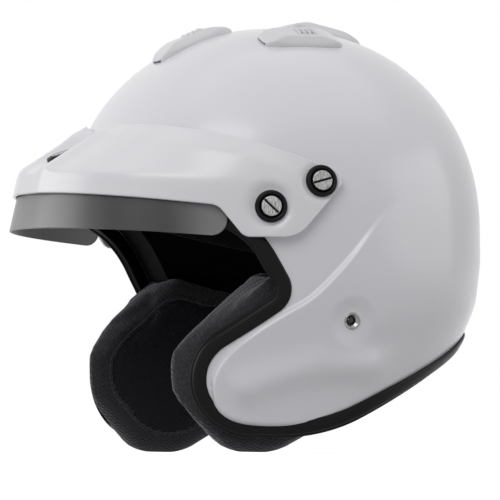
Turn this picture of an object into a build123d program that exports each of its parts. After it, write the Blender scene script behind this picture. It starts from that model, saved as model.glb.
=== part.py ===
from build123d import *
from functools import lru_cache
from math import cos, hypot, pi, radians, sin, tan
import os

# Open-face racing helmet with a bolted-on peak and a tinted strip, in millimetres.
# +X is the wearer's left, the face looks along -Y and +Z is up.
# Everything is made about the centre of the dome and moved to the part's origin at the end.
# In comments and outlines, forward means along -Y.

# Shell
front_reach = 128.0
rear_reach = 128.0
half_width = 122.0
crown_height = 128.5
shell_wall = 3.6
plan_exponent = 2.3
rise_exponent = 2.14
plan_points = 12
rise_angles = (0, 22, 43, 61, 75, 86)
# Below the dome's centre: height as a share of the crown height, then shares of the half width
# and of the rear reach.
lower_shares = (
    (-1.17, 0.78, 0.54),
    (-0.85, 0.875, 0.635),
    (-0.58, 0.938, 0.84),
    (-0.36, 0.978, 0.97),
)
# The line of the face opening and lower rim, seen from the side: forward as a share of the
# front reach, height and corner radius as shares of the crown height.
opening_shares = (
    (1.172, 0.179, 0.0),
    (0.781, 0.093, 1.45),
    (0.492, -0.031, 0.44),
    (0.328, -0.319, 0.062),
    (0.6875, -0.576, 0.233),
    (0.707, -0.992, 0.278),
    (0.086, -0.992, 0.856),
    (-1.172, -0.366, 0.0),
    (-1.172, 1.17, 0.0),
    (1.172, 1.17, 0.0),
)

# Clearances
fit_gap = 0.3
trim_gap = 0.15
thread_gap = 0.08
nut_gap = 0.6
foot_gap = 0.5
overrun = 30.0
side_use_share = 0.98

# Edge trim, a channel pushed on the rim
trim_leg = 1.3
trim_web = 2.0
trim_width = 8.5

# Foam liner and its head cavity
liner_front = 104.0
liner_rear = 104.0
liner_half = 86.0
liner_crown = 90.0
liner_recess = 2.0
cavity_depth = 155.0

# Cheek bases and pads
cheek_zone_shares = ((1.2, -0.22, 0.0), (1.2, -1.3, 0.0), (-0.3, -1.3, 0.0), (-0.3, -0.22, 0.0))
base_inner = 82.0
pad_inner = 62.0
pad_foot_flat = 0.5
pad_corner_shares = (
    (0.29, -0.18, 0.085),
    (0.79, -0.60, 0.17),
    (0.79, -0.80, 0.16),
    (0.49, -1.086, 0.23),
    (0.24, -1.086, 0.23),
    (-0.16, -0.85, 0.10),
    (-0.16, -0.30, 0.125),
)
pad_middle_shares = (0.31, -0.64)
# The cheek pad from outside to its inner face: depth as a share of the pad's thickness over
# the base, and the outline's size there as a share of its full size.
pad_crown_shares = ((2.2, 0.97), (0.8, 1.0), (0.36, 0.96), (0.12, 0.88), (0.0, 0.72))
snap_radius = 5.0
snap_height = 3.0
snap_shares = ((0.52, -0.62), (0.10, -0.45), (0.33, -0.84))

# Head lining
lining_thick = 8.0
lining_hem = 2.0
crown_level_shares = (-1.2, -1.0, -0.85, -0.5, 0.0, 0.5, 0.85, 1.0, 1.2)
crown_exponent = 2.4
band_front_power = 0.8
band_rear_power = 0.5
band_side_power = 0.9
band_tilt = 11.0
band_middle = 16.0
band_half = 22.0
roll_thick = 15.0
roll_low_share = -0.515
roll_high_share = -0.215
crown_pad_radius = 56.0

# Peak. Its sections lie in planes tilted up towards the front.
peak_tilt = 4.2
peak_wall = 2.4
peak_lift = 1.6
peak_exponent = 2.25
peak_rear = 64.0
# Height over the dome's centre, front reach and half width of the peak's sections.
peak_low = (-30.0, 173.5, 121.5)
peak_crease = (23.0, 164.6, 121.0)
peak_top = (66.0, 106.2, 107.5)
peak_drop_share = 0.75
peak_outline_shares = (
    (1.50, 0.196, 0.0),
    (0.645, 0.098, 0.07),
    (0.527, -0.0545, 0.062),
    (0.273, -0.0545, 0.155),
    (0.012, 0.241, 0.047),
    (0.469, 0.424, 0.62),
    (0.844, 0.514, 0.23),
    (1.50, 0.514, 0.0),
)
valley_from = (112.0, 55.5)
valley_to = (150.0, 42.0)
valley_floor_half = 13.0
valley_rim_half = 27.0
valley_depth = 16.0

# Tinted strip under the peak
strip_thick = 1.4
strip_outline_shares = (
    (1.50, 0.016, 0.0),
    (0.582, -0.0515, 0.075),
    (0.594, 0.15, 0.02),
    (1.50, 0.235, 0.0),
)

# Peak screws, their collars and nuts
screw_shares = ((0.386, 0.0895), (0.146, 0.209))
centre_screw_forward = 141.0
screw_radius = 2.9
head_radius = 6.25
head_thick = 2.2
slot_width = 1.5
slot_depth = 1.1
slot_turns = (-45.0, 15.0)
screw_length = 13.5
collar_radius = 10.0
collar_thick = 2.6
collar_dish = 1.3
collar_neck_radius = 5.4
collar_foot_radius = 8.0
nut_radius = 4.2
nut_flange_radius = 7.0
nut_flange_thick = 1.4
bracket_half = 10.0
bracket_thick = 6.0
bracket_nose = 11.0

# Threaded terminals for a head restraint
terminal_shares = (-0.033, -0.449)
terminal_flange_radius = 5.3
terminal_flange_thick = 1.0
terminal_radius = 4.2
terminal_bore = 2.55
terminal_length = 9.0

# Vents: a housing on the dome over a hole, with a finger slide
vent_length = 54.0
vent_width = 23.0
vent_height = 5.6
vent_top_length = 24.0
vent_top_width = 15.0
vent_corner = 7.4
vent_top_corner_share = 0.4
vent_skirt = 9.0
vent_rim = 1.6
vent_wall = 1.4
vent_hole_radius = 3.5
front_vent_share = 0.43
side_vent_shares = (0.02, 0.42)
rear_vent_share = -0.26
slide_length = 14.0
slide_width = 10.0
slide_plate = 1.0
slide_travel = 6.0
slide_stem = 3.0
rib_count = 4
rib_width = 1.5
rib_height = 1.2
shutter_plate = 0.9
mouth_width = 13.0
mouth_height = 2.0

# Chin strap, its hangers and rings
strap_width = 22.0
strap_thick = 1.8
strap_forward = 8.0
strap_seat_height = -70.0
strap_flap = 17.0
strap_inner = 54.5
strap_drop_short = 12.0
strap_drop_long = 31.0
strap_fold_gap = 4.0
hanger_thick = 1.2
hanger_width = 26.0
hanger_height = 15.0
rivet_radius = 2.5
rivet_head_radius = 5.0
rivet_head_thick = 1.6
rivet_sink = 2.0
pocket_side = 2.5
ring_wire = 1.75
ring_inner_width = 24.0
ring_depth = 24.0
ring_spacing = 5.6
ring_corner = 3.0

prism_reach = half_width + overrun
cavity_shares = ((-cavity_depth / crown_height, 1.0, 1.0), (-0.5, 1.0, 1.0))
side_plane = Plane((0, 0, 0), x_dir=(0, -1, 0), z_dir=(-1, 0, 0))


def signed_power(value, power):
    return abs(value) ** power * (1 if value >= 0 else -1)


def plan_face(front, rear, half, height, exponent=plan_exponent):
    """Level section of a rounded form, with its own reach to the front and to the rear."""
    points = []
    for step in range(plan_points):
        turn = 2 * pi * step / plan_points
        reach = front if cos(turn) >= 0 else rear
        across = half * signed_power(sin(turn), 2 / exponent)
        along = -reach * signed_power(cos(turn), 2 / exponent)
        points.append((across, along, height))
    return Face(Wire([Spline(*points, periodic=True)]))


def dome(front, rear, half, crown, shares):
    """Closed dome with a small flat at the top, standing on the levels in shares."""
    sections = []
    for height_share, half_share, rear_share in shares:
        level = height_share * crown_height
        sections.append(plan_face(front, rear * rear_share, half * half_share, level))
    for angle in rise_angles:
        rise = sin(radians(angle))
        share = (1 - rise**rise_exponent) ** (1 / rise_exponent)
        sections.append(plan_face(front * share, rear * share, half * share, crown * rise))
    return loft(sections)


@lru_cache(maxsize=None)
def shell_form(grow):
    """The shell's outer form, grown or shrunk by a distance."""
    return dome(
        front_reach + grow, rear_reach + grow, half_width + grow, crown_height + grow, lower_shares
    )


@lru_cache(maxsize=None)
def cavity_form(grow):
    """The liner's head cavity, open downwards."""
    return dome(
        liner_front + grow, liner_rear + grow, liner_half + grow, liner_crown + grow, cavity_shares
    )


def rounded(corners):
    """Face through corners of (across, up, radius), each rounded as far as its sides allow."""
    count = len(corners)
    points = [Vector(corner[0], corner[1]) for corner in corners]
    sides = [(points[(i + 1) % count] - points[i]) for i in range(count)]
    halves = []
    for i in range(count):
        back = -sides[i - 1]
        halves.append(radians(back.get_angle(sides[i])) / 2)
    tangents = [corners[i][2] / tan(halves[i]) for i in range(count)]
    cuts = []
    for i in range(count):
        before = side_use_share * sides[i - 1].length / max(tangents[i - 1] + tangents[i], fit_gap)
        after = side_use_share * sides[i].length / max(tangents[i] + tangents[(i + 1) % count], fit_gap)
        cuts.append(tangents[i] * min(1, before, after))
    edges = []
    for i in range(count):
        back = -sides[i - 1].normalized()
        ahead = sides[i].normalized()
        start = points[i] + back * cuts[i]
        end = points[i] + ahead * cuts[i]
        if cuts[i] > 0:
            radius = cuts[i] * tan(halves[i])
            middle = (back + ahead).normalized() * (radius / sin(halves[i]) - radius)
            edges.append(ThreePointArc(start, points[i] + middle, end))
        following = (i + 1) % count
        edges.append(Line(end, points[following] - ahead * cuts[following]))
    return Face(Wire(edges))


def side_face(shares):
    """Rounded outline from shares of the front reach and of the crown height."""
    corners = []
    for forward, height, radius in shares:
        corners.append((forward * front_reach, height * crown_height, radius * crown_height))
    return rounded(corners)


def side_prism(face):
    """Right through the helmet from side to side."""
    return extrude(side_plane * face, amount=prism_reach, both=True)


@lru_cache(maxsize=None)
def rim_face(inset):
    """What lies inside the rim line by a distance."""
    return offset(side_face(opening_shares), amount=-inset)


def half_at(forward, height):
    """Half width of the shell's form at a place on its side."""
    if height >= 0:
        share = (1 - (height / crown_height) ** rise_exponent) ** (1 / rise_exponent)
        half_share = share
        rear_share = share
        front_share = share
    else:
        levels = [(0, 1, 1)] + list(reversed(lower_shares))
        place = height / crown_height
        for upper, lower in zip(levels, levels[1:]):
            if place >= lower[0]:
                break
        part = (place - upper[0]) / (lower[0] - upper[0])
        half_share = upper[1] + part * (lower[1] - upper[1])
        rear_share = upper[2] + part * (lower[2] - upper[2])
        front_share = 1
    reach = front_reach * front_share
    if forward < 0:
        reach = rear_reach * rear_share
    inner = 1 - (abs(forward) / reach) ** plan_exponent
    return half_width * half_share * inner ** (1 / plan_exponent)


def side_seat(forward, height):
    """Plane on the left side of the shell, its normal outwards and its X forward."""
    step = shell_wall
    across = half_at(forward, height)
    along = (half_at(forward + step, height) - half_at(forward - step, height)) / (2 * step)
    rise = (half_at(forward, height + step) - half_at(forward, height - step)) / (2 * step)
    return Plane((across, -forward, height), x_dir=(along, -1, 0), z_dir=(1, along, -rise))


def height_at(forward, lateral):
    """Height of the shell's form over a place in plan."""
    reach = front_reach if forward >= 0 else rear_reach
    spread = (abs(lateral) / half_width) ** plan_exponent + (abs(forward) / reach) ** plan_exponent
    return crown_height * (1 - spread ** (rise_exponent / plan_exponent)) ** (1 / rise_exponent)


def top_seat(forward, lateral):
    """Plane on top of the shell, its normal outwards and its X forward."""
    step = shell_wall
    along = (height_at(forward + step, lateral) - height_at(forward - step, lateral)) / (2 * step)
    across = (height_at(forward, lateral + step) - height_at(forward, lateral - step)) / (2 * step)
    origin = (lateral, -forward, height_at(forward, lateral))
    return Plane(origin, x_dir=(0, -1, along), z_dir=(-across, along, 1))


def rod(plane, radius, low, high):
    """Round bar along a plane's normal, from one level to another."""
    return plane * Pos(0, 0, low) * extrude(Circle(radius), amount=high - low)


def block(plane, length, width, low, high, shift=0):
    """Box along a plane's X, from one level to another."""
    return plane * Pos(shift, 0, low) * extrude(Rectangle(length, width), amount=high - low)


def above(level):
    """All the space over a level."""
    return Pos(0, 0, level + prism_reach) * Box(4 * prism_reach, 4 * prism_reach, 2 * prism_reach)


def both_sides(piece):
    return [piece, mirror(piece, about=Plane.YZ)]


def joined(pieces):
    return Compound(children=[solid for piece in pieces for solid in piece.solids()])


def screw_seats():
    """Seats of the peak screws on the left side, and of the one in the peak's valley."""
    seats = []
    for forward_share, height_share in screw_shares:
        seats.append(side_seat(forward_share * front_reach, height_share * crown_height))
    along = valley_to[0] - valley_from[0]
    rise = valley_to[1] - valley_from[1]
    share = (centre_screw_forward - valley_from[0]) / along
    floor = valley_from[1] + share * rise
    slope = hypot(along, rise)
    drop = peak_wall + peak_lift
    up = Vector(0, rise / slope, along / slope)
    origin = Vector(0, -centre_screw_forward, floor) - up * drop
    seats.append(Plane(origin, x_dir=(0, -along, rise), z_dir=up))
    return seats


def terminal_seat():
    forward_share, height_share = terminal_shares
    return side_seat(forward_share * front_reach, height_share * crown_height)


def vent_seats():
    """Front, left, right and rear vents on the dome."""
    forward_share, lateral_share = side_vent_shares
    forward = forward_share * front_reach
    lateral = lateral_share * half_width
    return {
        "front": top_seat(front_vent_share * front_reach, 0),
        "left": top_seat(forward, lateral),
        "right": top_seat(forward, -lateral),
        "rear": top_seat(rear_vent_share * front_reach, 0),
    }


def strap_seat():
    """Seat of the strap's end inside the left of the shell, its normal towards the shell."""
    outer = side_seat(strap_forward, strap_seat_height)
    return outer.offset(-shell_wall - fit_gap)


def outer_shell():
    shell = shell_form(0) - shell_form(-shell_wall)
    shell &= side_prism(rim_face(trim_web))
    cuts = []
    for seat in screw_seats()[:2]:
        cuts += both_sides(rod(seat, nut_radius + trim_gap, -overrun, overrun / 2))
    seat = terminal_seat()
    cuts += both_sides(rod(seat, terminal_radius + trim_gap, -overrun / 2, overrun / 2))
    sink = rod(seat, terminal_flange_radius + trim_gap, -terminal_flange_thick, overrun / 2)
    cuts += both_sides(sink)
    for seat in vent_seats().values():
        cuts.append(rod(seat, vent_hole_radius, -overrun / 2, overrun / 2))
    inside = strap_seat()
    cuts += both_sides(rod(inside, rivet_radius + trim_gap, -fit_gap, rivet_sink + fit_gap))
    for cut in cuts:
        shell -= cut
    return shell


def edge_trim():
    inner = shell_wall + trim_leg
    trim = shell_form(trim_leg) - shell_form(-inner)
    trim &= side_prism(side_face(opening_shares) - rim_face(trim_width))
    slot = shell_form(trim_gap) - shell_form(-shell_wall - trim_gap)
    return trim - (slot & side_prism(rim_face(trim_web - trim_gap)))


def liner_space():
    """All the space inside the shell and back from the rim that foam may fill."""
    space = shell_form(-shell_wall - fit_gap)
    return space & side_prism(rim_face(trim_width + liner_recess))


def strap_room():
    """Room round the left strap's end and the run that leads inwards from it."""
    seat = strap_seat()
    depth = hanger_thick + strap_thick + rivet_head_thick + pocket_side + fit_gap
    tall = 2 * (strap_flap + pocket_side)
    wide = hanger_width + 2 * pocket_side
    pocket = block(seat, wide, tall, -depth, overrun)
    bottom = strap_seat_height - strap_flap / 2
    run = Box(prism_reach, strap_width + 2 * pocket_side, strap_thick + 2 * pocket_side)
    run = Pos(prism_reach / 2, -strap_forward, bottom) * run
    return pocket + run


def impact_liner():
    liner = liner_space() - cavity_form(0)
    zone = offset(side_face(cheek_zone_shares), amount=fit_gap)
    liner -= side_prism(zone)
    for seat in screw_seats()[:2]:
        for recess in both_sides(rod(seat, nut_flange_radius + fit_gap, -screw_length, overrun)):
            liner -= recess
    for seat in vent_seats().values():
        liner -= rod(seat, vent_hole_radius, -2 * overrun, overrun)
    return liner


def snap_seats():
    """Press studs between a cheek base and its pad, on the base's inner face."""
    seats = []
    for forward_share, height_share in snap_shares:
        origin = (base_inner, -forward_share * front_reach, height_share * crown_height)
        seats.append(Plane(origin, x_dir=(0, -1, 0), z_dir=(-1, 0, 0)))
    return seats


def base_space(grow):
    """Where the left cheek base lies, with a clearance round it."""
    space = side_prism(rim_face(trim_width + liner_recess - grow))
    zone = side_face(cheek_zone_shares)
    if grow:
        zone = offset(zone, amount=grow)
    space &= side_prism(zone)
    wide = Box(prism_reach, 4 * prism_reach, 4 * prism_reach)
    return space & (Pos(base_inner - grow + prism_reach / 2, 0, 0) * wide)


def cheek_base_left():
    base = shell_form(-shell_wall - fit_gap) & base_space(0)
    base -= strap_room()
    seat = terminal_seat()
    base -= rod(seat, terminal_radius + fit_gap, -terminal_length - fit_gap, overrun)
    for seat in snap_seats():
        base -= rod(seat, snap_radius + trim_gap, -snap_height / 2 - trim_gap, overrun)
    return base


def pad_snaps():
    studs = []
    for seat in snap_seats():
        studs += both_sides(rod(seat, snap_radius, -snap_height / 2, snap_height / 2))
    return joined(studs)


def cheek_pad_left():
    """Crowned pad that wraps the cheek base and stands out past the rim."""
    thick = base_inner - pad_inner
    middle, level = pad_middle_shares
    sections = []
    for depth_share, size_share in pad_crown_shares:
        shares = []
        for forward, height, radius in pad_corner_shares:
            forward = middle + (forward - middle) * size_share
            height = level + (height - level) * size_share
            shares.append((forward, height, radius * size_share))
        place = pad_inner + depth_share * thick
        sections.append(side_plane * Pos(0, 0, -place) * side_face(shares))
    pad = loft(sections)
    pad &= shell_form(-shell_wall - trim_leg - 2 * fit_gap)
    pad -= base_space(fit_gap)
    pad -= strap_room()
    pad -= above(cheek_zone_shares[0][1] * crown_height) - cavity_form(-fit_gap)
    pad &= above(pad.bounding_box().min.Z + pad_foot_flat)
    for seat in snap_seats():
        pad -= rod(seat, snap_radius + trim_gap, -overrun, snap_height / 2 + trim_gap)
    return pad


def crowned(share, thick):
    """Thickness of a pad from edge, -1 or 1, to middle, 0, and the hem's past the edges."""
    return lining_hem + (thick - lining_hem) * max(0, 1 - abs(share) ** crown_exponent) ** 0.5


def waist(levels, tilt):
    """Loft of sections (height, front, rear, half) that narrows in the middle."""
    sections = [plan_face(front, rear, half, height) for height, front, rear, half in levels]
    return Rot(-tilt, 0, 0) * loft(sections)


def head_band():
    """Padded ring round the brow, temples and back of the head, crowned inwards."""
    levels = []
    for share in crown_level_shares:
        height = band_middle + share * band_half
        thick = crowned(share, lining_thick)
        high = max(height, 0) / liner_crown
        shrink = (1 - high**rise_exponent) ** (1 / rise_exponent)
        front = liner_front * shrink**band_front_power - thick
        rear = liner_rear * shrink**band_rear_power - thick
        half = liner_half * shrink**band_side_power - thick
        levels.append((height, front, rear, half))
    slab = Box(2 * prism_reach, 2 * prism_reach, 2 * band_half)
    slab = Rot(-band_tilt, 0, 0) * Pos(0, 0, band_middle) * slab
    return (cavity_form(-fit_gap) & slab) - waist(levels, band_tilt)


def neck_roll():
    """Thick roll round the nape, between the cheek pads and above the rear rim."""
    low = roll_low_share * crown_height
    high = roll_high_share * crown_height
    levels = []
    for share in crown_level_shares:
        height = (low + high) / 2 + share * (high - low) / 2
        thick = crowned(share, roll_thick)
        levels.append((height, liner_front - thick, liner_rear - thick, liner_half - thick))
    zone = cheek_zone_shares[2][0] * front_reach - 2 * fit_gap
    slab = Box(2 * prism_reach, rear_reach + overrun, high - low)
    slab = Pos(0, -zone + (rear_reach + overrun) / 2, (low + high) / 2) * slab
    return (cavity_form(-fit_gap) & slab) - waist(levels, 0)


def crown_pad():
    pad = cavity_form(-fit_gap) - cavity_form(-lining_thick)
    disc = Pos(0, 0, liner_crown / 2) * extrude(Circle(crown_pad_radius), amount=liner_crown)
    return pad & disc


def tilted(piece):
    return Rot(-peak_tilt, 0, 0) * piece


def peak_section(level, inset, drop):
    height, front, half = level
    return plan_face(front - inset, peak_rear, half - inset, height - drop, peak_exponent)


def peak_fascia(inset):
    """Lower part of the peak's form, from below the strip up to the crease."""
    drop = inset * peak_drop_share
    return loft([peak_section(peak_low, inset, 0), peak_section(peak_crease, inset, drop)])


def peak_roof(inset):
    """Upper part of the peak's form, from the crease up to the dome."""
    drop = inset * peak_drop_share
    return loft([peak_section(peak_crease, inset, drop), peak_section(peak_top, inset, drop)])


def valley(grow):
    """Trough along the middle of the roof, its floor and sides moved out by a distance."""
    along = valley_to[0] - valley_from[0]
    rise = valley_to[1] - valley_from[1]
    slope = hypot(along, rise)
    up = Vector(0, rise / slope, along / slope)
    ahead = Vector(0, -along / slope, rise / slope)
    origin = Vector(0, -valley_from[0], valley_from[1]) - ahead * overrun
    plane = Plane(origin, x_dir=(1, 0, 0), z_dir=ahead)
    sign = 1 if plane.y_dir.dot(up) > 0 else -1
    floor = valley_floor_half + grow
    rim = valley_rim_half + grow
    outline = Polyline((-floor, -sign * grow), (floor, -sign * grow),
                       (rim, sign * valley_depth), (-rim, sign * valley_depth), close=True)
    return extrude(plane * Face(Wire(outline.edges())), amount=slope + 3 * overrun)


def peak():
    """Sheet of one thickness, with a hole and a flat seat at each collar."""
    outer = tilted(peak_fascia(0) + peak_roof(0)) + shell_form(peak_lift + peak_wall)
    inner = tilted(peak_fascia(peak_wall) + peak_roof(peak_wall))
    body = (outer - valley(0)) & side_prism(side_face(peak_outline_shares))
    body -= inner - valley(peak_wall)
    body -= shell_form(peak_lift)
    cuts = []
    for seat in screw_seats():
        cuts += both_sides(rod(seat, collar_neck_radius + trim_gap, 0, overrun))
        cuts += both_sides(rod(seat, collar_radius + fit_gap, peak_lift + peak_wall, overrun))
    for cut in cuts:
        body -= cut
    return max(body.solids(), key=lambda solid: solid.volume)


def tint_strip():
    inset = peak_wall + fit_gap
    strip = tilted(peak_fascia(inset) - peak_fascia(inset + strip_thick))
    strip &= side_prism(side_face(strip_outline_shares))
    return max(strip.solids(), key=lambda solid: solid.volume)


def peak_bracket():
    """Bonded to the shell under the peak; carries the nut of the middle screw."""
    seat = screw_seats()[2]
    length = 2 * overrun + bracket_nose
    body = block(seat, length, 2 * bracket_half, -bracket_thick, 0, bracket_nose - length / 2)
    body -= shell_form(trim_gap)
    body = min(body.solids(), key=lambda solid: (solid.center() - seat.origin).length)
    sleeve = rod(seat, nut_radius + trim_gap, -overrun, overrun)
    return body - sleeve


def collar(seat):
    """Dished ring over the peak with a neck through it and a foot on what lies below."""
    top = peak_lift + peak_wall + trim_gap + collar_thick
    ring = rod(seat, collar_radius, peak_lift + peak_wall + trim_gap, top)
    ring += rod(seat, collar_neck_radius, trim_gap, top)
    ring += rod(seat, collar_foot_radius, trim_gap, peak_lift - foot_gap)
    ring -= rod(seat, head_radius + trim_gap, top - collar_dish, top + overrun)
    return ring - rod(seat, screw_radius + thread_gap, -overrun, overrun)


def screw(seat, turn):
    """Slotted screw whose head sits in the collar's dish."""
    under = peak_lift + peak_wall + 2 * trim_gap + collar_thick - collar_dish
    top = under + head_thick
    body = rod(seat, head_radius, under, top) + rod(seat, screw_radius, top - screw_length, top)
    slot = Rectangle(2 * head_radius + fit_gap, slot_width)
    slot = seat * Pos(0, 0, top - slot_depth) * Rot(0, 0, turn) * extrude(slot, amount=slot_depth * 2)
    return body - slot


def nut(seat, thick):
    """Flanged nut: its sleeve fills the hole and its flange bears on the inside."""
    low = -thick - nut_gap
    body = rod(seat, nut_radius, low, -trim_gap)
    body += rod(seat, nut_flange_radius, low - nut_flange_thick, low)
    return body - rod(seat, screw_radius + thread_gap, -overrun, overrun)


def peak_collars():
    seats = screw_seats()
    rings = []
    for seat in seats[:2]:
        rings += both_sides(collar(seat))
    return joined(rings + [collar(seats[2])])


def peak_screws():
    seats = screw_seats()
    screws = []
    for seat, turn in zip(seats[:2], slot_turns):
        screws += both_sides(screw(seat, turn))
    return joined(screws + [screw(seats[2], 0)])


def peak_nuts():
    seats = screw_seats()
    nuts = []
    for seat in seats[:2]:
        nuts += both_sides(nut(seat, shell_wall))
    return joined(nuts + [nut(seats[2], bracket_thick)])


def terminal_left():
    """Threaded insert set flush in the side of the shell."""
    seat = terminal_seat()
    body = rod(seat, terminal_radius, -terminal_length, 0)
    body += rod(seat, terminal_flange_radius, -terminal_flange_thick + trim_gap, 0)
    return body - rod(seat, terminal_bore, -overrun, overrun)


def vent_body(seat, shrink):
    """Wedge-sided bump on the dome, its walls drawn in by a distance."""
    long_rim = vent_length - 2 * shrink
    wide_rim = vent_width - 2 * shrink
    long_top = vent_top_length - 2 * shrink
    wide_top = vent_top_width - 2 * shrink
    corner = vent_corner - shrink
    rim = RectangleRounded(long_rim, wide_rim, corner)
    top = RectangleRounded(long_top, wide_top, corner * vent_top_corner_share)
    sunk = -vent_skirt
    skirt = Pos(0, 0, sunk) * extrude(rim, amount=vent_rim - shrink - sunk)
    wedge = loft([Pos(0, 0, vent_rim - shrink) * rim.face(),
                  Pos(0, 0, vent_height - shrink) * top.face()])
    return seat * (skirt + wedge)


def vent_housing(seat, ahead):
    """Hollow cover with a mouth at one end, ahead or behind, standing on the dome."""
    body = vent_body(seat, 0) - vent_body(seat, vent_wall)
    body -= shell_form(trim_gap)
    reach = vent_length / 2
    mouth = block(seat, reach, mouth_width, -reach, mouth_height, ahead * reach)
    body -= mouth & vent_body(seat, -overrun)
    return max(body.solids(), key=lambda solid: solid.volume)


def slide_room(seat):
    """Pocket for the slide's plate, and the slot for its stem."""
    long = slide_length + slide_travel + 2 * fit_gap
    room = block(seat, long, slide_width + 2 * fit_gap, vent_height - slide_plate, overrun)
    slot = slide_stem + slide_travel + 2 * fit_gap
    return room + block(seat, slot, slide_stem + 2 * fit_gap, 0, overrun)


def vented_housing(seat):
    return vent_housing(seat, 1) - slide_room(seat)


def vent_slide(seat):
    """Finger slide: ribbed plate, stem and the shutter under the housing's roof."""
    start = -slide_travel / 2
    plate_low = vent_height - slide_plate + trim_gap
    body = block(seat, slide_length, slide_width, plate_low, vent_height, start)
    pitch = slide_length / rib_count
    for rib in range(rib_count):
        place = start + (rib + 0.5) * pitch - slide_length / 2
        body += block(seat, rib_width, slide_width, plate_low, vent_height + rib_height, place)
    under = vent_height - slide_plate - vent_wall - trim_gap
    body += block(seat, slide_stem, slide_stem, under - shutter_plate, vent_height, start)
    return body + block(seat, slide_length, slide_width, under - shutter_plate, under, start)


def across_strap(face):
    """Profile in lateral and height terms made into a solid as wide as the strap."""
    plane = Plane((0, -strap_forward, 0), x_dir=(1, 0, 0), z_dir=(0, -1, 0))
    return extrude(plane * face, amount=strap_width / 2, both=True)


def webbing(left, low, high):
    """Upright stretch of strap."""
    face = Rectangle(strap_thick, high - low)
    return across_strap(Pos(left + strap_thick / 2, (low + high) / 2) * face)


def strap_run():
    """Flap at the shell, run inwards under it, and the start of the drop."""
    seat = strap_seat()
    flap = block(seat, strap_width, strap_flap, -hanger_thick - strap_thick - 2 * trim_gap,
                 -hanger_thick - 2 * trim_gap)
    centre = strap_seat_height - strap_flap / 2 + strap_thick / 2
    outer = seat.origin.X - hanger_thick - strap_thick / 2
    low = centre - strap_thick / 2
    high = centre + strap_thick / 2
    bend = 2 * strap_thick
    corners = (
        (outer, low, 0),
        (outer, high, 0),
        (strap_inner - strap_thick / 2, high, bend),
        (strap_inner - strap_thick / 2, high - strap_drop_short, 0),
        (strap_inner + strap_thick / 2, high - strap_drop_short, 0),
        (strap_inner + strap_thick / 2, low, bend / 2),
    )
    return flap + across_strap(rounded(corners)), high - strap_drop_short


def ring_axes():
    """Centres of the two ring bars, side by side in the strap's loop, outer one first."""
    _, end = strap_run()
    height = end - ring_wire - trim_gap * 2
    return [(strap_inner + sign * ring_spacing / 2, height) for sign in (1, -1)]


def chin_strap_left():
    """Short strap whose loop holds both rings."""
    run, _ = strap_run()
    inner = ring_wire + 2 * trim_gap
    outer = inner + strap_thick
    centre = Pos(strap_inner, ring_axes()[0][1])
    bore = across_strap(centre * SlotCenterToCenter(ring_spacing, 2 * inner))
    return run + across_strap(centre * SlotCenterToCenter(ring_spacing, 2 * outer)) - bore


def chin_strap_right():
    """Long strap folded back up on itself, stored inside the helmet."""
    run, end = strap_run()
    turn = strap_fold_gap / 2
    low = end - strap_drop_long + strap_drop_short
    hanging = strap_inner - strap_thick / 2
    folded = hanging - strap_fold_gap - strap_thick
    strap = run + webbing(hanging, low, end) + webbing(folded, low, end + strap_drop_short / 2)
    fold = Circle(turn + strap_thick) - Circle(turn)
    fold &= Pos(0, -strap_fold_gap) * Rectangle(4 * strap_fold_gap, 2 * strap_fold_gap)
    strap += across_strap(Pos(hanging - turn, low) * fold)
    return mirror(strap, about=Plane.YZ)


def strap_hanger_left():
    seat = strap_seat()
    plate = block(seat, hanger_width, hanger_height, -hanger_thick, 0)
    return plate - rod(seat, rivet_radius + trim_gap, -overrun, overrun)


def strap_rivets():
    seat = strap_seat()
    under = -hanger_thick - strap_thick - 3 * trim_gap
    body = rod(seat, rivet_radius, under, rivet_sink)
    body += rod(seat, rivet_head_radius, under - rivet_head_thick, under)
    return joined(both_sides(body))


def d_ring(place):
    """Closed wire ring in a vertical plane, its bar at the top."""
    across, height = place
    half = ring_inner_width / 2 + ring_wire
    plane = Plane((across, -strap_forward, height), x_dir=(0, -1, 0), z_dir=(-1, 0, 0))
    face = rounded(((-half, 0, ring_corner), (half, 0, ring_corner),
                    (half, -ring_depth, half), (-half, -ring_depth, half)))
    path = plane * face.outer_wire()
    start = Plane((across, -strap_forward, height), x_dir=(1, 0, 0), z_dir=(0, -1, 0))
    return sweep(start * Circle(ring_wire), path=path)


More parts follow.
